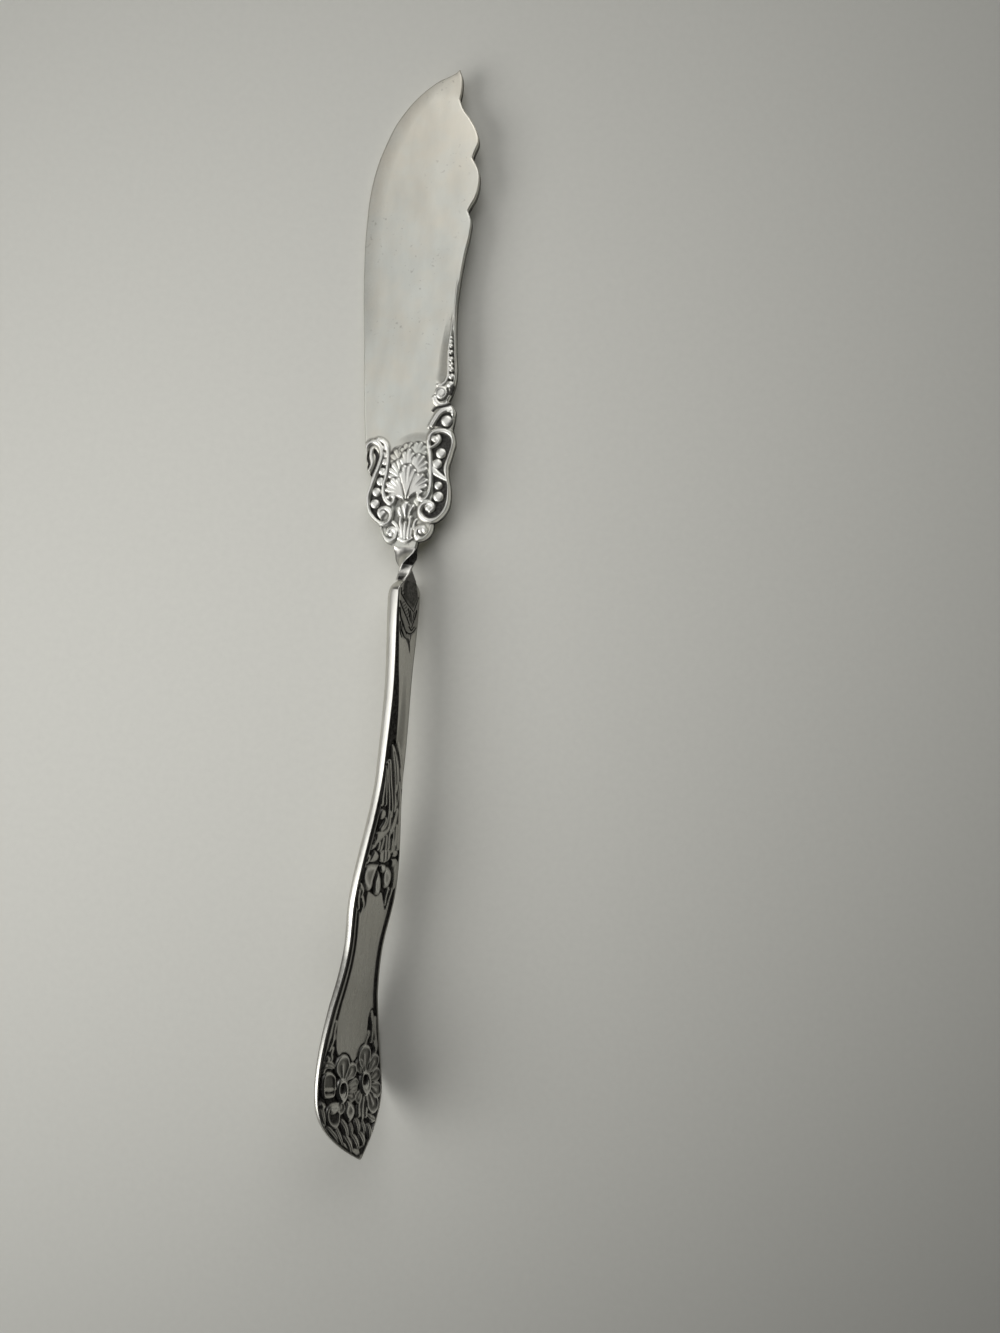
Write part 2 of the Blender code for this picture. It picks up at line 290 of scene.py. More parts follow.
class Relief:
    """Height, and patina with painted shade, over the points of one face, in millimetres of that face."""

    def __init__(self, points, cast, wall):
        self.shape = points.shape[:-1]
        self.points = points.reshape(-1, 2)
        self.cast = cast
        self.wall = wall
        self.height = np.zeros(len(self.points))
        self.tarnish = np.zeros(len(self.points))

    def near(self, path, reach):
        """Points near a path, with their distance to it and share along it."""
        low, high = path.min(0) - reach, path.max(0) + reach
        index = np.nonzero(((self.points > low) & (self.points < high)).all(1))[0]
        spots = self.points[index]
        steps = np.diff(path, axis=0)
        lengths = np.maximum(np.hypot(steps[:, 0], steps[:, 1]), TINY)
        starts = np.concatenate(((0.0,), np.cumsum(lengths)))
        best = np.full(len(index), FAR)
        share = np.zeros(len(index))
        for a, step, length, start in zip(path, steps, lengths, starts):
            away = spots - a
            t = np.clip((away @ step) / length ** 2, 0.0, 1.0)
            rest = away - t[:, None] * step
            distance = np.hypot(rest[:, 0], rest[:, 1])
            closer = distance < best
            best[closer] = distance[closer]
            share[closer] = (start + t * length)[closer] / starts[-1]
        return index, best, share

    def beside(self, pixels, radius, end):
        """Points near a stroke, with their share along it, their distance to it and its radius there."""
        end = radius if end is None else end
        index, distance, share = self.near(smooth_path(self.cast(pixels)), max(radius, end))
        return index, share, distance, radius + (end - radius) * share

    def inside(self, pixels, reach):
        """Points near a closed outline, with their distance from it: above zero inside."""
        path = smooth_path(self.cast(np.append(pixels, pixels[:2])))
        index, distance, _ = self.near(path, reach)
        spots = self.points[index]
        within = np.zeros(len(index), bool)
        for (x0, y0), (x1, y1) in zip(path, path[1:]):
            if y0 != y1:
                crossing = (y0 > spots[:, 1]) != (y1 > spots[:, 1])
                within ^= crossing & (spots[:, 0] < (x1 - x0) * (spots[:, 1] - y0) / (y1 - y0) + x0)
        return index, np.where(within, distance, -distance)

    def raise_to(self, index, level, cover, stain):
        """Let a form stand where it is higher than what is there, with its own darkness: patina, or painted
        shade on some forms.
        """
        higher = level > self.height[index]
        self.height[index] = np.where(higher, level, self.height[index])
        below = self.tarnish[index]
        self.tarnish[index] = np.where(higher, below + (stain - below) * cover, below)

    def lower(self, index, depth, tarnish):
        """Cut into what is there, and darken the cut: patina, or painted shade in some soft grooves."""
        self.height[index] -= depth
        self.tarnish[index] = np.maximum(self.tarnish[index], tarnish)

    def ridge(self, pixels, radius, height, end=None, base=0.0, leaf=False):
        """Thread along a stroke, with its radius going to another at the end, or swelling as a leaf."""
        index, share, distance, own = self.beside(pixels, radius, end)
        swell = np.ones(len(share))
        if leaf:
            swell = LEAF_END + (1.0 - LEAF_END) * np.sin(math.pi * np.clip(share, 0.0, 1.0)) ** LEAF_SWELL
            own = own * swell
        across = distance / own
        keep = across < 1.0
        index, across, swell = index[keep], across[keep], swell[keep]
        crown = 1.0 - THREAD_CROWN + THREAD_CROWN * (1.0 - across ** 2)
        level = swell * wall_rise((1.0 - across) / self.wall) * crown
        self.raise_to(index, base + height * level, ease((1.0 - across) * THREAD_COVER), 0.0)

    def groove(self, pixels, radius, depth, tarnish=1.0, end=None, soft=False):
        """Rounded channel along a stroke, or a soft darkened band that grows along it."""
        index, share, distance, own = self.beside(pixels, radius, end)
        cut = 1.0 - np.clip(distance / own, 0.0, 1.0) ** 2
        stain = ease(cut * GROOVE_COVER)
        if soft:
            cut = ease(cut) * (DARK_BAND_START + (1.0 - DARK_BAND_START) * ease(2.0 * share))
            stain = cut
        self.lower(index, depth * cut, tarnish * stain)

    def bead(self, pixel, radius, height, base=0.0, stain=0.0):
        """Dome of a radius in millimetres."""
        gap = np.hypot(*(self.points - self.cast(pixel)[0]).T) / radius
        index = np.nonzero(gap < 1.0)[0]
        gap = gap[index]
        level = base + height * np.sqrt(1.0 - gap ** BEAD_POWER)
        self.raise_to(index, level, ease((1.0 - gap) * BEAD_COVER), stain)

    def plate(self, pixels, height, base=0.0, wall=0.35, stain=0.0, hollow=0.0, grow=0.0):
        """Form inside a closed outline: soft wall, and a sunk, darkened face where it is hollow."""
        index, gap = self.inside(pixels, grow)
        gap = gap + grow
        keep = gap > 0.0
        index, gap = index[keep], gap[keep]
        face = ease((gap - PLATE_FACE * wall) / wall)
        level = height * wall_rise(gap / wall) * (1.0 - hollow * face)
        own = stain * face if hollow else stain
        self.raise_to(index, base + level, ease(gap / (PLATE_COVER * wall)), own)

    def petal(self, pixels, half_width, height, base, stain):
        """Petal from a narrow root to a round tip: raised rim and vein, and a hollow face."""
        root, tip = self.cast(pixels)
        reach = np.hypot(*(tip - root))
        path = np.array((root, tip - (tip - root) * min(half_width / reach, PETAL_TIP)))
        index, distance, share = self.near(path, half_width)
        across = distance / (half_width * (PETAL_ROOT + (1.0 - PETAL_ROOT) * ease(PETAL_SPREAD * share)))
        keep = across < 1.0
        index, across = index[keep], across[keep]
        wall = ease((1.0 - across) / PETAL_WALL)
        rim = np.exp(-((across - PETAL_RIM_AT) / PETAL_RIM_HALF) ** 2)
        vein = np.exp(-(across / VEIN_HALF) ** 2) * (1.0 - rim)
        level = height * wall * (PETAL_FACE + (1.0 - PETAL_FACE) * np.maximum(rim, VEIN_HEIGHT * vein))
        self.raise_to(index, base + level, wall, stain * (1.0 - np.maximum(rim, vein)))

    def sink(self, pixels, depth, tarnish, soft):
        """Lower a closed region with a soft wall."""
        index, gap = self.inside(pixels, 2.0 * soft)
        share = ease(0.5 + gap / soft)
        self.lower(index, depth * share, tarnish * share)

    def shaped(self, values):
        """Values in the rows and columns of the face."""
        return values.reshape(self.shape)

    def strike(self, forms):
        """Strike forms in turn: each has its method, its sizes in millimetres, and its strokes."""
        for form, sizes, *strokes in forms:
            for stroke in strokes:
                form(self, stroke, **sizes)


# Ornament of the blade's heel, in pixels of the photograph. A bead's radius is in millimetres.
RIGHT_SCROLL = (
    428.9, 441, 430.3, 435.5, 434, 432, 439, 430.6, 445, 431, 450, 433.5, 453.2, 438, 453.6, 444,
    452, 450.6, 449.4, 458.3, 446.7, 465, 446.1, 470.6, 447.8, 477.2, 449.4, 484, 449.4, 492.8,
    448.3, 501.7, 445.6, 509.4, 440.6, 516.1, 435, 519.6, 428.3, 520.3, 422.8, 517.6, 419.8, 512.8,
    420.4, 507.2, 423.5, 503.8, 428.5, 502.4, 432.6, 504.8, 433, 508.5, 430, 511,
)
RIGHT_INNER = (
    428.9, 441, 428.6, 444, 429.4, 449, 430.5, 456, 430.7, 467, 431, 478, 430.5, 487, 428.6, 494,
    425.5, 498.5, 421.5, 500, 418.6, 497.5, 419, 493.8, 421.4, 492.6,
)
RIGHT_COMMA = (438.4, 437, 439.4, 439.5, 438.2, 442.6, 435, 445.6, 431.5, 447.8)
RIGHT_BEADS = ((441, 453.3, 0.82), (437.2, 463.9, 0.78), (438.3, 485.6, 0.66), (438.3, 496.7, 0.82))
RIGHT_LEAF = (431.8, 469.5, 437, 473.5, 442, 477, 447.5, 480.5)
RIGHT_GROUND = (
    431, 437, 436, 433.5, 444, 433.6, 450, 437.5, 451, 444, 449.5, 451, 447, 458, 444.6, 464.5, 444, 470.6,
    445.5, 477.2, 447, 484, 447, 492.8, 446, 501, 443.2, 508.5, 438.6, 514.6, 431, 518, 425, 516,
    422.3, 511, 426, 506, 432, 499, 433, 487, 433.2, 478, 433, 467, 432.8, 456, 431.4, 448,
)
LEFT_SCROLL = (
    366, 453, 367, 446.4, 371.5, 442.2, 377, 442.6, 381, 447, 382.2, 455, 380.6, 461.7, 377.8, 469.4,
    374.4, 477.2, 370.8, 487.2, 368, 495, 367.6, 502.8, 368.8, 511, 372.4, 517, 377.7, 522.4, 383.9, 524.2,
    389, 521.6, 391.3, 516.1, 390, 511, 385.5, 508.2, 381, 509.6, 379.4, 513.2, 381.2, 516.6,
)
LEFT_INNER = (
    378, 439.6, 383, 440.8, 387, 445.5, 388.4, 453, 388.3, 461.7, 387.2, 470.6, 386, 477.2, 384, 484,
    383.4, 491.7, 385, 499, 389.4, 503.6, 393.2, 502.6, 394.4, 498.5, 392, 495.6, 389, 497,
)
LEFT_LEG = (372, 449.5, 371.4, 456, 372.4, 463, 370.6, 468.5, 368, 472)
LEFT_LEG_GAP = (374.5, 450.5, 377.4, 456, 377, 463, 374, 471, 371.5, 475)
LEFT_LEG_SLIT = (369.4, 452, 368, 459, 369.4, 464, 367.6, 469)
LEFT_BEADS = (
    (385, 448, 0.5), (385.6, 455, 0.52), (385, 462, 0.56), (382.8, 471.7, 0.62), (380.6, 481.7, 0.68),
    (376.7, 492.2, 0.74), (375, 503.9, 0.76),
)
LEFT_GROUND = (
    383.4, 444, 386.4, 447, 387, 455, 386.6, 463, 385.4, 471, 383.6, 479, 382, 486, 381.6, 492, 383, 500,
    386.4, 505, 380.5, 507.5, 377.4, 511, 378, 516, 380.6, 520, 375.5, 518, 371.4, 512.5, 370, 505,
    370.6, 497.5, 373.4, 488, 377, 478.5, 380.5, 470, 383.2, 462, 384.2, 454,
)
SMALL_LEFT = (
    380.4, 529, 381.5, 534.8, 385.2, 539.4, 390.5, 540.8, 394.8, 538.2, 396.4, 533, 393.8, 529.2,
    389.8, 529.4, 388.2, 532.4,
)
SMALL_RIGHT = (
    432.2, 526.8, 430.2, 532.8, 425.8, 537.6, 420, 539.2, 416.4, 536, 416.2, 531, 419, 527.8, 423.4, 527.6,
    425, 531,
)
UPPER_BAND = (429.4, 427, 432.8, 420.6, 437.2, 413.9, 443.9, 408, 450, 406, 453, 408.5, 453.4, 414)
UPPER_BAND_INNER = (432.2, 426, 436.1, 419.6, 440.6, 413.5, 446.1, 410.3, 450.4, 410.6)
UPPER_GROUND = (435, 426, 438, 419.5, 442.5, 414, 449, 412, 452, 416, 452.6, 424, 448, 428.5, 440, 427)
UPPER_BEAD = (446.7, 421)
CRESCENT = (434.4, 397.6, 436.2, 402, 440, 405, 444.6, 404.8, 448.4, 401.4, 450, 398)
CRESCENT_GAP = (433, 411, 437, 407.6, 443, 406.6, 448.6, 405, 451.4, 403)
NOTCH_SHADE = (454, 386, 452.6, 391, 452, 396, 451.6, 402)
BOSS = (441.3, 392.8)
BOSS_CURL = (436.8, 394.4, 437.8, 390.2, 441.4, 388.4, 444.8, 390.6, 445, 394.6, 442, 396.8, 439.6, 395)
BOSS_GAP = (434.8, 395.6, 437.4, 399, 441.4, 400.2, 446, 398, 448.6, 393.6, 447.6, 389)
SPINE_RIM = (457.6, 282, 455.9, 300, 455.2, 318, 455.3, 335, 455.8, 352, 456.6, 368, 456, 378, 454.6, 384)
SPINE_INNER = (
    452.8, 318, 450.6, 334, 448.8, 348, 448.2, 362, 448, 374, 445.6, 381, 441.8, 384.4, 438.2, 385,
)
SPINE_BEADS = (
    (451.7, 338, 0.22), (451.4, 341.8, 0.28), (451.3, 346, 0.32), (451.2, 352, 0.38), (451.2, 359, 0.42),
    (451.3, 364.4, 0.38), (451.4, 369.4, 0.42), (451.5, 376.4, 0.48), (450.2, 384.2, 0.54),
)
SPINE_GROUND = (
    453.2, 330, 454, 345, 454.4, 360, 454.6, 374, 453.6, 382, 451, 388.4, 447.4, 386, 449.2, 376,
    449.6, 362, 450.2, 348,
)
SPINE_HOLLOW = (450.8, 312, 448, 330, 445.8, 346, 444.6, 360, 444.2, 370, 443.2, 379)
PALMETTE_DARK_BAND = (396, 447, 402, 441.6, 410, 438.6, 418, 437.4, 425, 438.4)
SCROLL_EYES = ((435, 439), (428.2, 508), (382.6, 513.6), (391.6, 533.4), (421.2, 530.4))
# Rows of the palmette from the back: height, radius of a lobe, and leaves, each its root and its tips.
PALMETTE = (
    (0.23, 0.44, (
        (402, 467, 390.8, 462, 392.4, 456.4, 396, 451.6, 400.8, 448.8),
        (408, 459, 402.6, 450, 406, 446, 411, 444.6),
        (415, 462, 412.6, 448.6, 416.2, 444.6, 420.8, 444, 424.8, 447.6, 425.6, 453),
    )),
    (0.31, 0.46, (
        (403.6, 484, 390.4, 476.4, 390.8, 470.4, 393.6, 465, 398.6, 461.4),
        (407.4, 474, 402, 460, 404.6, 454, 409.4, 450.8, 413, 455),
        (411, 480, 414.6, 459, 418.6, 455.8, 423, 458, 425.8, 463.4, 425.6, 469.4),
    )),
    (0.44, 0.5, (
        (404, 499, 398, 480, 392.8, 480.4, 388.6, 484.4, 387.8, 490, 392, 494.8),
        (408.4, 498, 417.4, 476, 422.4, 476, 426, 481, 425.4, 486.8, 419.6, 490.4),
        (406.2, 498, 401.8, 473.6, 404.4, 467.6, 410, 466.6, 414.4, 471.6),
    )),
)
PALMETTE_GROUND = (
    390.6, 456, 394, 449, 400, 446.5, 409, 444.5, 418, 441.5, 425.4, 444, 427.4, 456, 427.6, 470, 427, 484,
    423, 492, 414, 500, 417.6, 508, 417.4, 516, 416, 526, 413.4, 537, 398, 538, 395, 528, 392.6, 520,
    394, 508, 394, 500, 386.6, 494, 387, 482, 389.6, 468,
)
BUD_BASE = (
    405.5, 499.8, 409, 501.5, 410, 504, 414, 503.5, 415.6, 506.5, 415, 510, 412.5, 513, 410, 516, 409, 518,
    401, 519, 398.6, 516.4, 396.6, 512.6, 396, 508.6, 397.4, 505.6, 400.4, 505.4, 401, 502,
)
BUD_LOBES = (
    (405.4, 500.6, 408.2, 502.6, 408.6, 506.6, 407.4, 512, 405.6, 517.6, 403.4, 512, 401.8, 507, 402.4, 503),
    (399.6, 506.6, 401, 509.4, 402.4, 514, 402.6, 517.6, 399.6, 515.4, 397.4, 511.6, 397.2, 508),
    (413.4, 504.8, 414.6, 507.4, 413.4, 510.4, 410.6, 514, 408.6, 516.6, 409, 511.6, 410.4, 507),
)
BUD_CUTS = ((400.8, 507, 402.2, 512, 404, 517), (409.4, 506.5, 408.4, 512, 407, 517))
STEM = (
    (401.2, 517.5, 400.6, 523, 401.8, 529, 402.8, 537.6), (405.3, 523, 405.2, 530, 405.2, 537.8),
    (410.6, 517.5, 410.2, 523, 409, 529, 408.2, 537.6),
)
STEM_LEAVES = (
    (393.4, 522.4, 396.2, 525.4, 398.2, 529.6), (416, 520.2, 414.4, 524, 413.4, 528.6),
    (399, 530, 399.8, 534, 400.6, 537), (411.4, 529.4, 411, 533, 410.4, 536.6),
)
BASE_ARC = (399, 538.4, 402, 540.4, 405.5, 541.4, 409, 540.4, 411.6, 538.4)

LEAF_FACE, LEAF_SHADE = 0.7, 0.2
LEAF_GAP = dict(depth=0.08, tarnish=0.78)
LEAF_PLATE = dict(base=-0.16, wall=0.3, stain=0.62, grow=0.24)
FLUTE = dict(radius=0.14, base=-0.16)
FLUTE_BEND = 0.16
BEAD_SPREAD = 1.12
SCROLL_BEAD = dict(height=0.34, base=-0.12)
CHAIN_BEAD_BASE, CHAIN_BEAD_LOW, CHAIN_BEAD_RISE = -0.12, 0.2, 0.2

HEEL_GROUNDS = (
    # The spine hollow is a shallow real groove; its soft dark band is painted shade.
    (Relief.groove, dict(radius=0.35, depth=0.13, tarnish=0.5, end=1.4, soft=True), SPINE_HOLLOW),
    (Relief.groove, dict(radius=0.9, depth=0.02, tarnish=0.38, end=1.4, soft=True), PALMETTE_DARK_BAND),
    (Relief.sink, dict(depth=0.16, tarnish=0.62, soft=0.3), PALMETTE_GROUND),
    (Relief.sink, dict(depth=0.24, tarnish=1.0, soft=0.2),
     RIGHT_GROUND, LEFT_GROUND, UPPER_GROUND, SPINE_GROUND),
    (Relief.groove, dict(radius=0.4, depth=0.3), LEFT_LEG_GAP),
    (Relief.groove, dict(radius=0.28, depth=0.25), LEFT_LEG_SLIT),
)
HEEL_FORMS = (
    (Relief.ridge, dict(radius=0.36, height=0.34, base=-0.1), *STEM),
    (Relief.ridge, dict(radius=0.34, height=0.26, base=-0.1), *STEM_LEAVES),
    (Relief.plate, dict(height=0.26, base=-0.12, wall=0.35, stain=0.2), BUD_BASE),
    (Relief.groove, dict(radius=0.22, depth=0.1, tarnish=0.7), *BUD_CUTS),
    (Relief.plate, dict(height=0.44, base=-0.12, wall=0.5, grow=0.1), *BUD_LOBES),
    (Relief.ridge, dict(radius=0.3, height=0.26), BASE_ARC),
    (Relief.ridge, dict(radius=0.44, height=0.36), RIGHT_SCROLL, LEFT_SCROLL, SMALL_LEFT, SMALL_RIGHT),
    (Relief.ridge, dict(radius=0.38, height=0.32), RIGHT_INNER, LEFT_INNER),
    (Relief.ridge, dict(radius=0.5, height=0.36, end=0.25), RIGHT_COMMA),
    (Relief.ridge, dict(radius=0.75, height=0.34, end=0.3, base=-0.14), RIGHT_LEAF),
    (Relief.ridge, dict(radius=0.4, height=0.26, end=0.3), LEFT_LEG),
)
SPINE_FORMS = (
    (Relief.bead, dict(radius=0.62, height=0.38, base=-0.08), *SCROLL_EYES),
    (Relief.ridge, dict(radius=0.26, height=0.26, end=0.46), UPPER_BAND),
    (Relief.ridge, dict(radius=0.34, height=0.3), UPPER_BAND_INNER),
    (Relief.bead, dict(radius=1.0, height=0.4, base=-0.1), UPPER_BEAD),
    (Relief.groove, dict(radius=0.6, depth=0.1, tarnish=0.95), NOTCH_SHADE),
    (Relief.groove, dict(radius=0.26, depth=0.16, tarnish=0.8), BOSS_GAP),
    (Relief.bead, dict(radius=1.05, height=0.22, stain=0.1), BOSS),
    (Relief.groove, dict(radius=0.17, depth=0.07, tarnish=0.6, end=0.1), BOSS_CURL),
    (Relief.ridge, dict(radius=0.42, height=0.2, end=0.52), CRESCENT),
    (Relief.groove, dict(radius=0.22, depth=0.2, end=0.36), CRESCENT_GAP),
    (Relief.ridge, dict(radius=0.12, height=0.14, end=0.34), SPINE_RIM),
    (Relief.ridge, dict(radius=0.14, height=0.12, end=0.32), SPINE_INNER),
)


def strike_heel(face):
    """Scrolls, beads and palmette on the blade's heel, and the bead chain up its spine."""
    face.strike(HEEL_GROUNDS)
    for height, lobe, leaves in PALMETTE:
        for leaf in leaves:
            root, *tips = np.reshape(leaf, (-1, 2))
            face.groove(tips, lobe + LEAF_SHADE, **LEAF_GAP)
            face.plate(leaf, LEAF_FACE * height, **LEAF_PLATE)
            for tip in tips:
                middle = 0.5 * (root + tip)
                middle[1] -= FLUTE_BEND * abs(tip[0] - root[0])
                face.ridge((root, middle, tip), height=height, end=lobe, **FLUTE)
    face.strike(HEEL_FORMS)
    for x, y, radius in RIGHT_BEADS + LEFT_BEADS:
        face.bead((x, y), BEAD_SPREAD * radius, **SCROLL_BEAD)
    face.strike(SPINE_FORMS)
    for x, y, radius in SPINE_BEADS:
        height = CHAIN_BEAD_LOW + CHAIN_BEAD_RISE * radius
        face.bead((x, y), BEAD_SPREAD * radius, height, CHAIN_BEAD_BASE)


# Ornament of the handle's front, in pixels of the photograph. Where strokes have their own radius, or one
# at the start and one at the end, each stroke begins with it, in millimetres.
SHOULDER_FIELD = (
    406, 578, 401.6, 588, 400.2, 600, 400, 616, 400.4, 632, 404, 639, 409, 637.6, 413.4, 634, 416.6, 628,
    418.4, 616, 419.4, 604, 417.4, 586, 414, 574,
)
SHOULDER_LEAF = (
    413.6, 566, 409.4, 571, 406, 578, 404, 586, 404, 593, 406, 599.6, 409, 604, 413.4, 609, 416.2, 604,
    418.4, 598, 417.6, 588, 416.6, 578,
)
SHOULDER_CUTS = (
    (0.24, 401.4, 588, 401.6, 593, 404, 597.6, 407, 603, 410.6, 607.6, 413.8, 612),
    (0.2, 418.6, 598, 416.6, 604.6, 414.4, 611),
    (0.26, 400.4, 601, 402.6, 607, 405, 613, 407.6, 619, 409.6, 625),
    (0.2, 410.4, 611, 411.4, 617, 411.4, 623), (0.2, 408.6, 609, 409.8, 615, 410.4, 621),
    (0.26, 416.8, 611, 415.6, 617, 413.6, 622.6, 412, 627.6), (0.16, 414.6, 613, 413.6, 618, 412.4, 621.6),
    (0.34, 400, 608, 400.8, 616, 403, 623, 405, 629, 407, 634), (0.2, 402.6, 624, 402, 629, 403.6, 634),
    (0.3, 400.4, 622, 400.2, 630, 401.6, 637), (0.24, 401.6, 630, 404, 636, 406.6, 639),
    (0.22, 406.4, 632, 410, 634, 413.4, 632, 416.4, 628), (0.24, 409.4, 627, 411.6, 630.4, 414.6, 627),
    (0.14, 411.6, 633.6, 410.4, 638, 409.4, 643),
)
SHOULDER_DASHES = (
    403.2, 603, 404.6, 605.4, 405.8, 608, 407, 610.8, 407.8, 613.8, 408.6, 616.8, 403, 591, 404, 594.6,
)
DASH_REACH = (1.1, -1.0)
SHANK_DARK_BAND = (405, 678, 404.4, 692, 403.4, 708, 401.8, 726, 399.4, 746)
SHOULDER_SPIKE = (407.6, 640, 409, 645, 409.6, 651)
FOLIAGE_GROUND = (
    391, 742, 388.4, 752, 386.6, 764, 385.4, 780, 383.6, 792, 381, 808, 377.6, 825, 374, 840, 370, 855,
    366.6, 870, 361, 882, 358.4, 890, 356.6, 906, 360, 912, 365, 906, 368, 892, 376, 896, 382, 893,
    384.6, 908, 390, 900, 396, 880, 398.4, 862, 399.8, 846, 401, 820, 402.4, 800, 403.6, 780, 401, 764,
    397, 750, 394.6, 740,
)
FOLIAGE = (
    (0.3, 0.44, 385.8, 768, 385, 780, 384, 790, 383, 797, 382.6, 803),
    (0.28, 0.3, 387.2, 770, 386.6, 782, 386.4, 794, 386.2, 804),
    (0.32, 0.36, 388.4, 764, 388.6, 782, 389.3, 796, 389.2, 808, 388, 818, 385.6, 826, 381.6, 830.4),
    (0.34, 0.3, 390.2, 762, 391, 780, 392, 794, 392.4, 806, 391.8, 816),
    (0.34, 0.3, 386, 819.6, 384, 824.6, 381.2, 828.6),
    (0.4, 0.6, 390.6, 813, 389.6, 822, 388, 829, 384, 834, 379, 839, 376.4, 841.4),
    (0.5, 0.45, 398, 744, 400, 754, 401, 764, 402, 774), (0.5, 0.5, 400.6, 770, 401.4, 779, 401.8, 786),
    (0.42, 0.5, 399.4, 784, 399.8, 800, 399, 815, 398.4, 832, 397.6, 848),
    (0.5, 0.7, 397, 811, 395.4, 818, 393.6, 825, 391.6, 830),
    (0.55, 0.65, 396.8, 827, 396.2, 836, 395.6, 843), (0.3, 0.3, 393.6, 831, 393.2, 838),
    (0.42, 0.42, 390.2, 831, 389, 838, 388.4, 848), (0.4, 0.4, 386.6, 837, 386, 843, 385.6, 849),
    (0.4, 0.5, 383.6, 839, 382.4, 844, 381, 849), (0.4, 0.4, 379.6, 843, 378.6, 848),
    (0.5, 0.7, 392.8, 841, 393, 849), (0.75, 0.5, 395.6, 867, 395.2, 876, 393.6, 886),
    (0.4, 0.4, 369.4, 858, 368, 861),
)
BROAD_LEAVES = (
    (1.15, 393.4, 746, 394.8, 758, 396, 768, 396.8, 780, 396.4, 790, 395.2, 797),
    (0.7, 395.4, 793, 395.2, 803, 394.8, 814), (0.4, 397.8, 786, 397.8, 796, 397, 808),
)
FOLIAGE_PLATES = (
    (382.6, 809.4, 385.8, 811.4, 385.6, 816, 383, 819, 380.4, 818, 380.6, 813),
    (376.6, 833.4, 380, 831.6, 384.6, 831.2, 386, 833.6, 382, 838, 378, 841.6, 375.4, 841.6, 376.2, 837.4),
    (375.6, 843.6, 376.6, 846, 373.4, 849, 371.2, 849.4, 371.8, 846),
    (374.5, 850.4, 377.2, 852.4, 378.6, 856, 377, 860.2, 373, 862, 369.5, 861, 371.5, 857, 373.2, 853.4),
    (379.6, 852.6, 384, 850.2, 389.6, 850.4, 390.8, 855, 388.6, 860.2, 384, 862.4, 380, 861.2, 378.8, 857),
    (392, 852, 396, 850.4, 397.8, 853.4, 395.8, 856.6, 392.2, 856),
    (391.4, 859.6, 396.6, 859.6, 397, 865.2, 391.8, 866),
)
FOLIAGE_CUTS = ((384, 852, 383.6, 861), (387.2, 851.6, 386.6, 860), (394.6, 752, 396, 768, 396.6, 784))
BLOSSOM = (
    (378.4, 865, 371, 864.6, 365.4, 867.6, 362.8, 875, 363.2, 883, 367, 890, 371, 888.4, 373, 880,
     375.6, 872),
    (377.8, 871, 374.8, 878, 373.4, 886, 374, 893, 377.6, 894.6, 380.2, 889, 380.2, 878),
    (384.6, 868, 382.4, 874, 382, 882, 384, 887.4, 388, 886, 390.8, 878, 390.2, 871, 387.4, 867.6),
)
BLOSSOM_BUD = (381.6, 863.6, 385.4, 864.6, 385.6, 869, 382.4, 873.6, 379.6, 870.6, 379, 866)
SIDE_LEAVES = (
    (361, 886, 363, 890.6, 361.6, 896), (362.4, 898.4, 363.6, 904, 362, 910.4),
    (359.4, 892, 358.4, 900, 358.8, 908), (391.4, 891, 388.6, 900, 385.8, 909),
    (388, 889.6, 385.8, 897, 384.8, 904),
)
LOWER_LEAVES = (
    (336, 1024, 334.4, 1032, 334.6, 1038), (334, 1036, 332.6, 1043, 330, 1049),
    (332.6, 1050, 331.4, 1054, 332, 1059), (328.6, 1060, 326, 1066, 324, 1071),
    (371.6, 1014, 372.8, 1026, 371.6, 1040), (374.6, 1020, 375, 1034, 376.4, 1046),
    (374.4, 1042, 376, 1048, 375, 1053), (368.6, 1034, 366.4, 1040, 364.6, 1046),
)
END_GROUND = (
    337.4, 1022, 335.8, 1047, 338.4, 1056, 343, 1053, 348.4, 1055, 352, 1062, 356.6, 1058, 360.4, 1046.6,
    366.6, 1038.6, 369.4, 1014, 374.4, 1010, 377.6, 1040, 380, 1066, 380.6, 1088, 378, 1106, 374, 1124,
    370.4, 1138, 364, 1145, 356, 1148, 345, 1143, 333, 1136, 324.4, 1126, 319.4, 1112, 318.6, 1098,
    321, 1080, 325, 1060, 331, 1040,
)
# Petals: root, tip, half of the width and stain.
DAISY_PETALS = (
    (342.6, 1080, 342.6, 1053, 2.05, 0.3), (346, 1080, 356, 1063, 1.5, 0.25),
    (347, 1087, 359, 1081.6, 0.95, 0.3), (347, 1092, 358, 1086.6, 0.8, 0.3),
    (346.4, 1095, 355.6, 1097, 1.0, 0.5), (340.6, 1100, 340.4, 1116, 1.2, 0.6),
    (364.4, 1072, 364.2, 1043, 1.95, 0.4), (368, 1073, 378, 1053.6, 1.5, 0.35),
    (369.4, 1080, 380.4, 1070, 1.3, 0.5), (369.4, 1085, 381, 1093, 1.5, 0.3),
    (368, 1091, 376, 1113, 1.75, 0.55), (361.6, 1089, 355.6, 1104, 1.0, 0.5),
    (361.6, 1075, 357.6, 1058, 1.15, 0.5),
)
LEFT_PETAL = (
    336.4, 1085, 336, 1076, 331, 1071, 325.4, 1072.6, 322.4, 1079, 321.8, 1090, 323, 1098.6, 329, 1099.6,
    335, 1096.6,
)
LEFT_PETAL_BAR = (323.4, 1089.4, 330, 1089.8, 336.6, 1088.4)
BLUNT_PETALS = (
    (338, 1101, 331, 1103, 328, 1108, 328.4, 1114, 333, 1116, 338, 1113, 340, 1107),
    (346.6, 1099.6, 344.4, 1107, 343.6, 1115, 348.4, 1123.4, 353.6, 1118.6, 355.6, 1110, 352, 1101),
    (321.4, 1100.6, 326, 1103, 326, 1109, 321.6, 1111, 319.4, 1106),
)
RIBBED_PETAL = (
    (361, 1095, 358.6, 1105, 358.6, 1114), (363.6, 1096, 362.4, 1106, 361.8, 1117),
    (366, 1095, 366.4, 1105, 365.6, 1114),
)
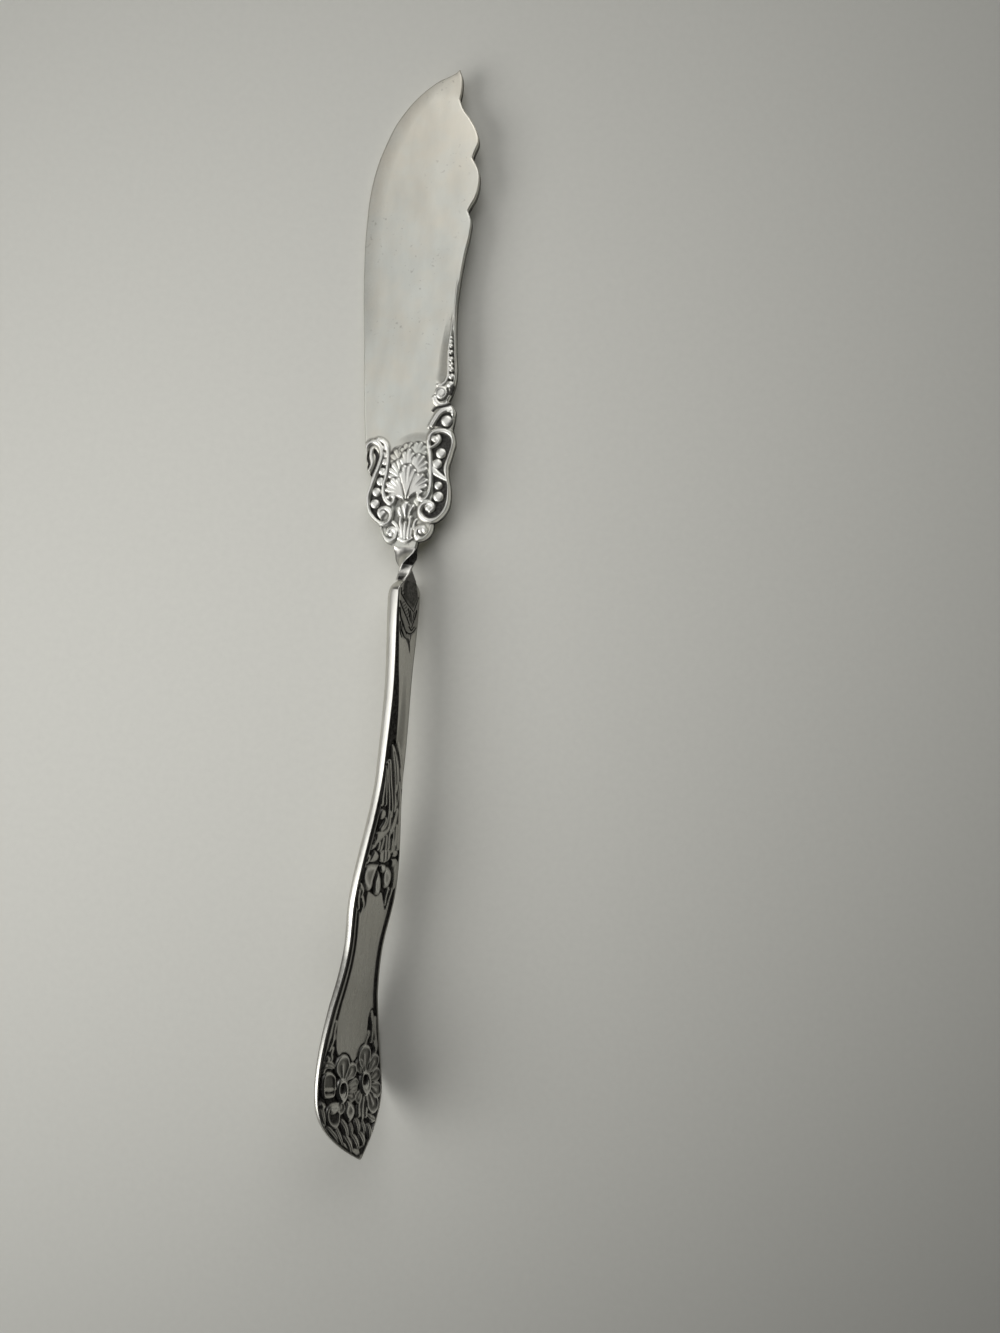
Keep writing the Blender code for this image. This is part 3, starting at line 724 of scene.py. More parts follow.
EYE_RINGS = (
    (342, 1081, 345, 1084, 346, 1090.6, 344.8, 1096.6, 342.2, 1100, 339.6, 1096.6, 338.2, 1090.6,
     339.2, 1084.4, 342, 1081),
    (365, 1073, 368, 1076.4, 369, 1082.6, 368, 1089, 365.4, 1092.6, 362.6, 1089.2, 361.2, 1082.4,
     362.2, 1076, 365, 1073),
)
EYE_HOLES = ((341.6, 1086.6, 341.4, 1090), (364.2, 1077.4, 364.2, 1081))
END_LEAVES = (
    (0.9, 0.7, 322.6, 1110, 323, 1116, 324.6, 1123), (0.7, 0.8, 337, 1130, 339, 1136, 341.6, 1141.6),
    (0.9, 0.8, 342.6, 1124, 345.4, 1130, 346, 1137), (0.7, 0.7, 350.4, 1125, 351, 1130, 350, 1134),
    (1.0, 0.8, 356.4, 1121, 357.6, 1126, 358.4, 1131.6), (0.8, 0.8, 362.4, 1123, 363.4, 1128, 364, 1132),
    (0.8, 1.0, 345.6, 1138, 348.6, 1143.4, 350.6, 1149), (0.8, 1.0, 353, 1137, 355.6, 1142, 357.6, 1147),
    (0.9, 1.0, 360, 1134, 362, 1138, 363.6, 1142), (0.8, 0.8, 368, 1115, 371, 1117.6, 374, 1118.6),
    (0.8, 0.7, 368.4, 1126, 369.4, 1131, 369.6, 1137), (0.6, 0.6, 329.6, 1130, 333.6, 1135, 337, 1139.6),
    (0.5, 0.6, 325.6, 1064.6, 330, 1064.4, 334.6, 1068),
    (0.35, 0.4, 324.4, 1069.6, 328.6, 1067.6, 332, 1069),
)
END_BALL = (
    338, 1101, 331, 1103, 326.4, 1110, 326, 1119, 329, 1127, 334.6, 1130, 339.4, 1126, 341, 1116,
    340.4, 1107,
)

CUT_START, CUT_END = 0.85, 0.4
SHOULDER_CUT = dict(depth=0.1, tarnish=0.9)
DASH = dict(radius=0.14, depth=0.07, tarnish=0.6)
FOLIAGE_SPREAD = 1.5
FOLIAGE_THREAD = dict(height=0.26, base=-0.2)
BROAD_LEAF = dict(height=0.28, base=-0.2, leaf=True)
LEAF_STRETCH = 1.6
END_LEAF = dict(height=0.38, base=-0.2, leaf=True)
END_LEAF_VEIN = dict(radius=0.18, depth=0.08, tarnish=0.4, end=0.1)
PETAL_BASE, PETAL_LOW, PETAL_RISE, PETAL_HIGH = -0.2, 0.16, 0.16, 0.42
RIM_KEPT, RIM_BLEND = 0.12, 0.4

HANDLE_GROUNDS = (
    (Relief.sink, dict(depth=0.2, tarnish=0.88, soft=0.25), FOLIAGE_GROUND),
    (Relief.sink, dict(depth=0.22, tarnish=0.94, soft=0.25), END_GROUND),
    (Relief.sink, dict(depth=0.05, tarnish=0.34, soft=0.5), SHOULDER_FIELD),
    (Relief.groove, dict(radius=0.5, depth=0.01, tarnish=0.26, end=1.3, soft=True), SHANK_DARK_BAND),
)
SHOULDER_FORMS = (
    # The shoulder leaf is a low real form; its dark colour is a painted dark reflection.
    (Relief.plate, dict(height=0.2, base=-0.06, wall=1.0, stain=0.68), SHOULDER_LEAF),
    (Relief.groove, dict(radius=0.4, depth=0.1, tarnish=0.6, end=0.1), SHOULDER_SPIKE),
)
BLOSSOM_FORMS = (
    (Relief.plate, dict(height=0.28, base=-0.2, wall=0.5, grow=0.15), *FOLIAGE_PLATES),
    (Relief.groove, dict(radius=0.16, depth=0.06, tarnish=0.5), *FOLIAGE_CUTS),
    (Relief.plate, dict(height=0.38, base=-0.2, wall=0.9, stain=0.2, hollow=0.2, grow=0.26), *BLOSSOM),
    (Relief.plate, dict(height=0.4, base=-0.2, wall=0.5), BLOSSOM_BUD),
    (Relief.ridge, dict(radius=0.6, height=0.26, end=0.5, base=-0.2), *SIDE_LEAVES),
    (Relief.ridge, dict(radius=0.72, height=0.28, end=0.6, base=-0.2), *LOWER_LEAVES),
)
END_FORMS = (
    (Relief.plate, dict(height=0.36, base=-0.22, wall=0.55, stain=0.75, hollow=0.5), END_BALL),
    (Relief.plate, dict(height=0.4, base=-0.22, wall=0.5, stain=0.5, hollow=0.5), LEFT_PETAL),
    (Relief.ridge, dict(radius=0.4, height=0.3, base=-0.16), LEFT_PETAL_BAR),
    (Relief.plate, dict(height=0.4, base=-0.22, wall=0.8, stain=0.32, hollow=0.25), *BLUNT_PETALS),
    (Relief.ridge, dict(radius=0.58, height=0.34, end=0.72, base=-0.2), *RIBBED_PETAL),
)
EYE_FORMS = (
    (Relief.plate, dict(height=0.5, base=-0.2, wall=0.5), *EYE_RINGS),
    (Relief.ridge, dict(radius=0.66, height=0.46, base=-0.1), *EYE_RINGS),
    (Relief.groove, dict(radius=0.66, depth=0.36), *EYE_HOLES),
)

# Edges of the handle's front. Stations are millimetres from the upper end.
BEVEL_STATIONS = (2.0, 5.0, 13.0, 18.0, 21.5, 25.0, 28.2, 31.0, 36.0, 46.0)
BEVEL_WIDTHS = (0.3, 0.6, 1.0, 1.65, 2.0, 2.25, 2.6, 1.5, 0.6, 0.5)
BEVEL_DROPS = (0.06, 0.1, 0.1, 0.06, 0.08, 0.1, 0.12, 0.16, 0.2, 0.0)
BEVEL_STAIN, BEVEL_STAIN_BORDER, BEVEL_STAIN_DROP = 0.95, 0.18, 0.05
LOWER_BEVEL, LOWER_DROP, LOWER_STAIN = 0.5, 0.15, 0.3
THREAD_START, THREAD_FULL = 30.0, 36.0
THREAD_STATIONS = (40.0, 58.0, 66.0, 72.0, 80.0)
OUTER_GROOVE = (0.42, 0.42, 0.42, 0.46, 0.5)
INNER_GROOVE = (1.2, 1.25, 1.5, 1.7, 1.9)
GROOVE_HALF, GROOVE_DEPTH = 0.23, 0.16
THREAD_COVERAGE, THREAD_STAIN = 1.4, 0.6
LOWER_GROOVE, LOWER_GROOVE_HALF = 0.95, 0.5


def strike_edges(face, edge_gap, upper, at):
    """Dark bevel beside the upper edge of the shank, a double thread below it, and a lower groove."""
    everywhere = slice(None)
    drop = np.interp(at, BEVEL_STATIONS, BEVEL_DROPS)
    width = np.where(upper, np.interp(at, BEVEL_STATIONS, BEVEL_WIDTHS), LOWER_BEVEL)
    bevel = np.clip(1.0 - edge_gap / width, 0.0, 1.0) * np.where(upper, drop, LOWER_DROP)
    stain = np.where(upper, BEVEL_STAIN, LOWER_STAIN) * ease((width - edge_gap) / BEVEL_STAIN_BORDER)
    face.lower(everywhere, bevel.ravel(), (stain * ease(drop / BEVEL_STAIN_DROP)).ravel())
    thread = ramp(at, THREAD_START, THREAD_FULL)
    for grooves in (OUTER_GROOVE, INNER_GROOVE):
        middle = np.interp(at, THREAD_STATIONS, grooves)
        cut = np.exp(-((edge_gap - middle) / GROOVE_HALF) ** 2) * thread * upper
        stain = np.clip(THREAD_COVERAGE * cut, 0.0, THREAD_STAIN)
        face.lower(everywhere, GROOVE_DEPTH * cut.ravel(), stain.ravel())
    cut = np.exp(-((edge_gap - LOWER_GROOVE) / LOWER_GROOVE_HALF) ** 4) * thread * ~upper
    face.lower(everywhere, GROOVE_DEPTH * cut.ravel(), cut.ravel())


def strike_handle(face, edge_gap, upper, at):
    """Leaf and ropes, foliage, blossom, threads and daisies on the handle's front."""
    strike_edges(face, edge_gap, upper, at)
    rim = face.height.copy()
    face.strike(HANDLE_GROUNDS)
    for radius, *stroke in SHOULDER_CUTS:
        face.groove(stroke, CUT_START * radius, end=CUT_END * radius, **SHOULDER_CUT)
    for spot in np.reshape(SHOULDER_DASHES, (-1, 2)):
        face.groove((spot - DASH_REACH, spot + DASH_REACH), **DASH)
    face.strike(SHOULDER_FORMS)
    for start, end, *stroke in FOLIAGE:
        face.ridge(stroke, FOLIAGE_SPREAD * start, end=FOLIAGE_SPREAD * end, **FOLIAGE_THREAD)
    for radius, *stroke in BROAD_LEAVES:
        face.ridge(stroke, radius, **BROAD_LEAF)
    face.strike(BLOSSOM_FORMS)
    for start, end, *stroke in END_LEAVES:
        stroke = np.reshape(stroke, (-1, 2))
        middle = stroke.mean(0)
        stroke = middle + LEAF_STRETCH * (stroke - middle)
        face.ridge(stroke, start, end=end, **END_LEAF)
        face.groove(stroke, **END_LEAF_VEIN)
    face.strike(END_FORMS)
    for *ends, half_width, stain in DAISY_PETALS:
        height = min(PETAL_HIGH, PETAL_LOW + PETAL_RISE * half_width)
        face.petal(ends, half_width, height, PETAL_BASE, stain)
    face.strike(EYE_FORMS)
    face.height = rim + (face.height - rim) * ease((edge_gap - RIM_KEPT) / RIM_BLEND).ravel()


# Meshes

def add_object(name, data):
    """Object in the scene."""
    thing = bpy.data.objects.new(name, data)
    bpy.context.scene.collection.objects.link(thing)
    return thing


def skin(name, loops, tarnish, polish, material):
    """Closed mesh through rings of points in millimetres, with patina and painted shade, and polish, at each
    point.
    """
    rows, columns = loops.shape[:2]
    index = np.arange(rows * columns).reshape(rows, columns)
    near, far = index[:-1], index[1:]
    quads = np.stack((near, np.roll(near, -1, 1), np.roll(far, -1, 1), far), -1).reshape(-1, 4)
    faces = quads.tolist() + [index[0, ::-1].tolist(), index[-1].tolist()]
    mesh = bpy.data.meshes.new(name)
    mesh.from_pydata((loops.reshape(-1, 3) * MM).tolist(), [], faces)
    for layer_name, values in (("tarnish", tarnish), ("polish", polish)):
        layer = mesh.attributes.new(layer_name, "FLOAT", "POINT")
        layer.data.foreach_set("value", values.ravel().astype(np.float32))
    mesh.materials.append(material)
    mesh.shade_smooth()
    for cap in mesh.polygons[-2:]:
        cap.use_smooth = False
    return add_object(name, mesh)


def crowded(count, crowd):
    """Shares from 0 to 1 that lie closer together near both ends."""
    even = np.linspace(0.0, 1.0, count)
    return (1.0 - crowd) * even + crowd * 0.5 * (1.0 - np.cos(math.pi * even))


def blurred(values, reach):
    """Box blur of a grid, twice."""
    for _ in range(2):
        for axis in (0, 1):
            size = values.shape[axis]
            first = np.zeros_like(np.take(values, [0], axis))
            padded = np.concatenate((first, np.cumsum(values, axis)), axis)
            high = np.minimum(np.arange(size) + reach + 1, size)
            low = np.maximum(np.arange(size) - reach, 0)
            total = np.take(padded, high, axis) - np.take(padded, low, axis)
            counts = (high - low).reshape((-1, 1) if axis == 0 else (1, -1))
            values = total / counts
    return values


def softened(values):
    """Grid with each point eased towards its neighbours."""
    for axis in (0, 1):
        size = values.shape[axis]
        before = np.take(values, np.maximum(np.arange(size) - 1, 0), axis)
        after = np.take(values, np.minimum(np.arange(size) + 1, size - 1), axis)
        values = 0.25 * before + 0.5 * values + 0.25 * after
    return values


CAVITY_REACH = 4


def cavity(height, full):
    """How far each point lies below its neighbourhood, from 0 to 1 at the full depth."""
    return np.clip((blurred(height, CAVITY_REACH) - height) / full, 0.0, 1.0)


def place(origin, directions, across, along, proud):
    """Points of a face in the frame of the CAD model."""
    x, y, z = directions
    return origin + across[..., None] * x + along[..., None] * y + proud[..., None] * z


def rounded_drop(gap, radius):
    """Fall of a surface towards a rounded border."""
    share = np.clip(1.0 - gap / radius, 0.0, 1.0)
    return radius * (1.0 - np.sqrt(1.0 - share ** 2))


BLADE_FRONT_COLUMNS = 230
BLADE_BACK_COLUMNS = 40
BLADE_CROWD = 0.45
BLADE_WALL = 0.62
HEEL_END = 37.0
HEEL_STEP, PLAIN_STEP = 0.085, 0.28
TIP_MARGIN, TIP_ROWS = 0.3, (0.24, 0.14, 0.06, 0.02)
BLADE_EDGE_ROUND = 0.32
BLADE_CROWN = 0.06
BLADE_CAVITY_STAIN, BLADE_CAVITY_DEPTH = 0.75, 0.12
POLISH_FROM, POLISH_FULL = 0.03, 0.16
WALL_STEP = 0.08
# Painted shade on the blade's side wall at the spine, darker still beside the notches of its outline.
WALL_PAINTED_SHADE = 0.72
NOTCH_PAINTED_SHADE, NOTCH_REACH = 0.95, 1.6
EDGE_LINE_DARKENING, EDGE_LINE_WIDTH, EDGE_LINE_SIDE = 0.5, 0.3, 1.0
TIP_DARKENING, TIP_DARKENING_START, TIP_DARKENING_FULL = 0.27, 71.0, 78.0
CUTTING_DARKENING, CUTTING_DARKENING_REACH = 0.36, 5.5
CUTTING_DARKENING_START, CUTTING_DARKENING_FULL = 24.0, 40.0
BORDER_REACH = 1.2


def blade_darkening(front, gap, left):
    """Darker colour on the blade's plain front: by its tip, and beside its cutting edge."""
    along = front[..., 1]
    beside = front[..., 0] - left[:, None]
    upper = ramp(along, CUTTING_DARKENING_START, CUTTING_DARKENING_FULL)
    darkening = CUTTING_DARKENING * upper * (1.0 - ease(beside / CUTTING_DARKENING_REACH))
    darkening = np.maximum(darkening, TIP_DARKENING * ramp(along, TIP_DARKENING_START, TIP_DARKENING_FULL))
    line = EDGE_LINE_DARKENING * (1.0 - ease(gap / EDGE_LINE_WIDTH)) * (beside < EDGE_LINE_SIDE)
    return np.maximum(darkening, line)


def border_gap(points, outline):
    """Distance from points to an outline, where it is near."""
    gap = np.full(len(points), FAR)
    for a, b in zip(outline, outline[1:]):
        step = b - a
        close = np.nonzero((np.abs(points - 0.5 * (a + b)) < BORDER_REACH).all(1))[0]
        if len(close) and step @ step > 0:
            away = points[close] - a
            t = np.clip((away @ step) / (step @ step), 0.0, 1.0)
            gap[close] = np.minimum(gap[close], np.hypot(*(away - t[:, None] * step).T))
    return gap


def blade_thickness(across):
    """Thickness of the wedge-ground blade at a distance from its axis to the spine."""
    wedge = (across + CUTTING_REACH) / (CUTTING_REACH + SPINE_REACH)
    return EDGE_THICKNESS + (SPINE_THICKNESS - EDGE_THICKNESS) * wedge


def build_blade(material):
    """Blade with its struck heel."""
    notches = PERCENT * np.array(SPINE_CORNERS) * BLADE_LENGTH
    along = np.unique(np.concatenate((
        np.arange(0.0, HEEL_END, HEEL_STEP), np.arange(HEEL_END, BLADE_LENGTH - TIP_MARGIN, PLAIN_STEP),
        notches[:-1], BLADE_LENGTH - np.array(TIP_ROWS),
    )))
    left = -outline_reach(CUTTING_OUTLINE, CUTTING_CORNERS, CUTTING_REACH, along)
    right = outline_reach(SPINE_OUTLINE, SPINE_CORNERS, SPINE_REACH, along)
    outline = np.vstack((np.stack((left, along), 1), np.stack((right, along), 1)[::-1]))

    def spread(columns):
        """Rows of points from the cutting edge to the spine, and their shares of the way."""
        share = crowded(columns, BLADE_CROWD)
        across = left[:, None] + (right - left)[:, None] * share
        return np.stack((across, np.broadcast_to(along[:, None], across.shape)), -1), share

    front, share = spread(BLADE_FRONT_COLUMNS)
    face = Relief(front, on_blade, BLADE_WALL)
    strike_heel(face)
    gap = face.shaped(border_gap(face.points, outline))
    relief = softened(softened(face.shaped(face.height)))
    crown = BLADE_CROWN * (1.0 - (2.0 * share - 1.0) ** 2)
    inside = ease(gap / BLADE_EDGE_ROUND)
    front_level = relief * inside + crown * inside - rounded_drop(gap, BLADE_EDGE_ROUND)
    hollows = BLADE_CAVITY_STAIN * cavity(relief, BLADE_CAVITY_DEPTH)
    tarnish = np.maximum(softened(face.shaped(face.tarnish)), hollows)
    tarnish = np.maximum(tarnish, blade_darkening(front, gap, left))

    back, _ = spread(BLADE_BACK_COLUMNS)
    back = back[:, ::-1]
    back_gap = border_gap(back.reshape(-1, 2), outline).reshape(back.shape[:-1])
    back_level = rounded_drop(back_gap, BLADE_EDGE_ROUND) - blade_thickness(back[..., 0])

    # Painted shade on the spine wall, darkest beside the notches.
    notch_gap = np.min(np.abs(along[:, None] - notches), 1)
    wall_painted_shade = WALL_PAINTED_SHADE + (NOTCH_PAINTED_SHADE - WALL_PAINTED_SHADE) * (1.0 - ease(notch_gap / NOTCH_REACH))
    sheets = (front, front[:, -1:], back)
    levels = (front_level, front_level[:, -1:] - WALL_STEP, back_level)
    loops = np.concatenate([
        place(BLADE_ROOT, BLADE_AXES, sheet[..., 0], sheet[..., 1], level)
        for sheet, level in zip(sheets, levels)
    ], 1)
    back_wall_shade = np.zeros(back_level.shape)
    back_wall_shade[:, 0] = wall_painted_shade
    stain = np.concatenate((tarnish, wall_painted_shade[:, None], back_wall_shade), 1)
    polish = np.zeros(stain.shape)
    polish[:, :BLADE_FRONT_COLUMNS] = ramp(relief, POLISH_FROM, POLISH_FULL)
    return skin("blade_skin", loops, stain, polish, material)


SEAM_RISE = 0.9
# Stretches of the handle: where each starts, and how many rows of points it has.
HANDLE_ROWS = ((-SEAM_RISE, 170), (10.5, 48), (25.0, 280), (53.0, 60), (68.0, 240))
HANDLE_FRONT_COLUMNS = 156
HANDLE_BACK_COLUMNS = 22
HANDLE_CROWD = 0.3
HANDLE_WALL = 1.0
SEAM_SKIN_WIDTH, SEAM_SKIN_THICKNESS = 3.3, 2.0
SHOULDER_RISE, SHOULDER_BACK_RISE = 1.8, 3.4
END_TRIM, END_TRIM_START, END_TRIM_FULL = 0.22, 70.0, 78.0
FRONT_ROUND, FRONT_ROUND_LIMIT, BACK_ROUND = 0.13, 0.3, 0.52
ARC_POINTS = 6
# Painted shade over the handle's whole front, darkening its reflection.
FRONT_PAINTED_SHADE = 0.3
EDGE_FILM, EDGE_FILM_START = 0.36, -0.35
HANDLE_CAVITY_STAIN, HANDLE_CAVITY_DEPTH = 0.9, 0.09
RIM_POLISH_FROM, RIM_POLISH_FULL = 0.1, 0.2
# Painted shade on the handle's edges and back, by place along it, that dims the highlight on its upper edge.
STRIP_SHADE_STATIONS = (52.0, 57.0, 60.5, 65.0, 69.0, 74.0, 80.0, 92.0)
STRIP_PAINTED_SHADE = (0.0, 0.32, 0.66, 0.7, 0.62, 0.44, 0.34, 0.32)


def shoulder_turn(at, rise):
    """Share of the way round the shoulder at the handle's upper end."""
    return np.sin(QUARTER * np.clip((at + SEAM_RISE) / rise, 0.0, 1.0))


def skin_section(at):
    """Width, thickness and bow of the handle's skin: as the solid, with a round shoulder at its upper end."""
    width = np.where(at < SHOULDER_AT, SHOULDER_WIDTH, handle_width(at))
    width = width - (SHOULDER_WIDTH - SEAM_SKIN_WIDTH) * (1.0 - shoulder_turn(at, SHOULDER_RISE))
    width = width - END_TRIM * ramp(at, END_TRIM_START, END_TRIM_FULL)
    slimmer = (SHOULDER_THICKNESS - SEAM_SKIN_THICKNESS) * (1.0 - shoulder_turn(at, SHOULDER_BACK_RISE))
    return width, handle_thickness(at) - slimmer, handle_bow(at) + 0.5 * slimmer


def handle_border(width, thickness):
    """Edge of the handle from its front to its back, on one side: points across and proud, for each row."""
    half, top = 0.5 * width[:, None], 0.5 * thickness[:, None]
    front = np.minimum(FRONT_ROUND, FRONT_ROUND_LIMIT * thickness)[:, None]
    back = BACK_ROUND * thickness[:, None]
    angles = np.linspace(0.0, QUARTER, ARC_POINTS)
    sine, cosine = np.sin(angles), np.cos(angles)
    across = np.concatenate((half - front + front * sine, half - back + back * cosine), 1)
    proud = np.concatenate((top - front + front * cosine, back - top - back * sine), 1)
    return np.stack((across, proud), -1)


def build_handle(material):
    """Handle with its struck front, bevelled shank and soft back edges."""
    starts, counts = zip(*HANDLE_ROWS)
    stops = starts[1:] + (HANDLE_LENGTH,)
    at = [np.linspace(*stretch, endpoint=False) for stretch in zip(starts, stops, counts)]
    at = np.concatenate(at + [[HANDLE_LENGTH]])
    width, thickness, bow = skin_section(at)
    border = handle_border(width, thickness)
    share = 2.0 * crowded(HANDLE_FRONT_COLUMNS, HANDLE_CROWD) - 1.0
    across = border[:, 0, 0][:, None] * share
    places = np.broadcast_to(at[:, None], across.shape)
    face = Relief(np.stack((across, places), -1), on_handle, HANDLE_WALL)
    edge_gap = 0.5 * width[:, None] - np.abs(across)
    tip_gap = np.maximum(HANDLE_LENGTH - places, 0.0)
    strike_handle(face, np.minimum(edge_gap, tip_gap), across > 0.0, places)
    relief = softened(face.shaped(face.height))
    front_level = 0.5 * thickness[:, None] + relief
    stain = np.maximum(face.shaped(face.tarnish), HANDLE_CAVITY_STAIN * cavity(relief, HANDLE_CAVITY_DEPTH))
    # Painted shade over the whole front, on top of the patina.
    stain = FRONT_PAINTED_SHADE + (1.0 - FRONT_PAINTED_SHADE) * stain

    upper = border[:, 1:].copy()
    lower = border[:, 1:][:, ::-1].copy()
    fade = np.concatenate((np.ones(ARC_POINTS - 1), np.zeros(ARC_POINTS)))
    upper[..., 1] += relief[:, -1:] * fade
    lower[..., 1] += relief[:, :1] * fade[::-1]
    back_share = np.linspace(1.0, -1.0, HANDLE_BACK_COLUMNS)[1:-1]
    back_across = border[:, -1, 0][:, None] * back_share
    section_across = np.concatenate((across, upper[..., 0], back_across, -lower[..., 0]), 1)
    back_level = np.broadcast_to(-0.5 * thickness[:, None], back_across.shape)
    section_proud = np.concatenate((front_level, upper[..., 1], back_level, lower[..., 1]), 1)
    turn = EDGE_FILM * ease(np.linspace(EDGE_FILM_START, 1.0, ARC_POINTS))
    turn = np.concatenate((np.zeros(ARC_POINTS - 1), turn))
    around = np.concatenate((turn, np.full(len(back_share), EDGE_FILM), turn[::-1]))
    # Painted shade that dims the highlight on the edges.
    strip_shade = np.interp(at, STRIP_SHADE_STATIONS, STRIP_PAINTED_SHADE)[:, None]
    tarnish = np.concatenate((stain, np.maximum(around, strip_shade)), 1)
    along = np.broadcast_to(-at[:, None], section_across.shape)
    loops = place(HANDLE_TOP, HANDLE_AXES, section_across, along, -(bow[:, None] + section_proud))
    polish = np.zeros(tarnish.shape)
    polish[:, :HANDLE_FRONT_COLUMNS] = ramp(relief, RIM_POLISH_FROM, RIM_POLISH_FULL)
    return skin("handle_skin", loops[:, ::-1], tarnish[:, ::-1], polish[:, ::-1], material)


NECK_RINGS = 90
NECK_WIDTHS = ((0.0, ROOT_WIDTH), (0.3, 3.4), (0.72, 2.7), (1.0, SEAM_SKIN_WIDTH))
NECK_THICKNESSES = ((0.35, 2.3), (0.7, 2.05), (1.0, SEAM_SKIN_THICKNESS))
NECK_CORNER, NECK_CORNER_LIMIT = 0.32, 0.45
NECK_POINTS, NECK_SIDE_POINTS = 7, 5
NECK_TURN_SHARE, NECK_TURN_EASE = 0.96, 0.2
NECK_FLUSH_SHARE = 0.5
# Painted shade and painted dark reflections on the neck: points round the section, the shares of the length
# where each starts, is full, fades and ends, and how strong it is.
NECK_PAINTED_SHADE = (
    (slice(7, 10), -0.2, 0.0, 0.2, 0.4, 0.2),
    (slice(10, 12), 0.02, 0.16, 0.5, 0.62, 0.4),
    (slice(12, 18), 0.02, 0.16, 0.5, 0.62, 0.66),
    (slice(28, 37), 0.46, 0.62, 1.2, 1.4, 0.68),
    (slice(42, 48), -0.04, 0.02, 0.48, 0.58, 1.0),
    (slice(0, 2), -0.04, 0.02, 0.48, 0.58, 1.0),
    (slice(43, 48), 0.84, 0.9, 0.97, 1.05, 0.9),
)


def neck_section(width, thickness):
    """Rounded bar section, counted round from its spine side over its front."""
    radius = min(NECK_CORNER, NECK_CORNER_LIMIT * thickness)
    points = []
    for quarter, (side, over) in enumerate(((1, 1), (-1, 1), (-1, -1), (1, -1))):
        for angle in np.linspace(0.0, QUARTER, NECK_POINTS) + QUARTER * quarter:
            points.append((side * (0.5 * width - radius) + radius * math.cos(angle),
                           over * (0.5 * thickness - radius) + radius * math.sin(angle)))
    points = np.array(points).reshape(4, NECK_POINTS, 2)
    start, stop = points[:, -1:], np.roll(points, -1, 0)[:, :1]
    share = np.linspace(0.0, 1.0, NECK_SIDE_POINTS + 2)[1:-1, None]
    return np.concatenate((points, start + (stop - start) * share), 1).reshape(-1, 2)


def build_neck(material):
    """Twisted bar between the blade's root and the handle's upper end, closing both joints."""
    root_thickness = blade_thickness(0.0)
    seam_step = 0.5 * (SHOULDER_THICKNESS - SEAM_SKIN_THICKNESS)
    start = BLADE_ROOT - 0.5 * root_thickness * BLADE_AXES[2]
    stop = HANDLE_TOP + SEAM_RISE * HANDLE_AXES[1] - seam_step * HANDLE_AXES[2]
    shares = np.linspace(0.0, 1.0, NECK_RINGS)
    loops = []
    for share in shares:
        turn = np.clip(share / NECK_TURN_SHARE, 0.0, 1.0)
        turn = (1.0 - NECK_TURN_EASE) * turn + NECK_TURN_EASE * ease(turn)
        roll = BLADE_TILT + (HANDLE_ROLL - BLADE_TILT) * turn
        across, _, face = axes(roll, HANDLE_PITCH * turn)
        width = eased_table(NECK_WIDTHS, share)
        thickness = eased_table(((0.0, root_thickness),) + NECK_THICKNESSES, share)
        section = neck_section(float(width), float(thickness))
        flush = 0.5 * (thickness - root_thickness) * (1.0 - ease(share / NECK_FLUSH_SHARE))
        centre = start + (stop - start) * share - flush * face
        loops.append(centre + section[:, :1] * across + section[:, 1:] * face)
    loops = np.array(loops)
    tarnish = np.zeros(loops.shape[:2])
    # Painted shade and painted dark reflections on the neck's faces.
    for columns, begin, full, fade, end, amount in NECK_PAINTED_SHADE:
        shade = amount * ramp(shares, begin, full) * (1.0 - ramp(shares, fade, end))
        tarnish[:, columns] = np.maximum(tarnish[:, columns], shade[:, None])
    return skin("neck_skin", loops, tarnish, np.zeros(tarnish.shape), material)


# Materials

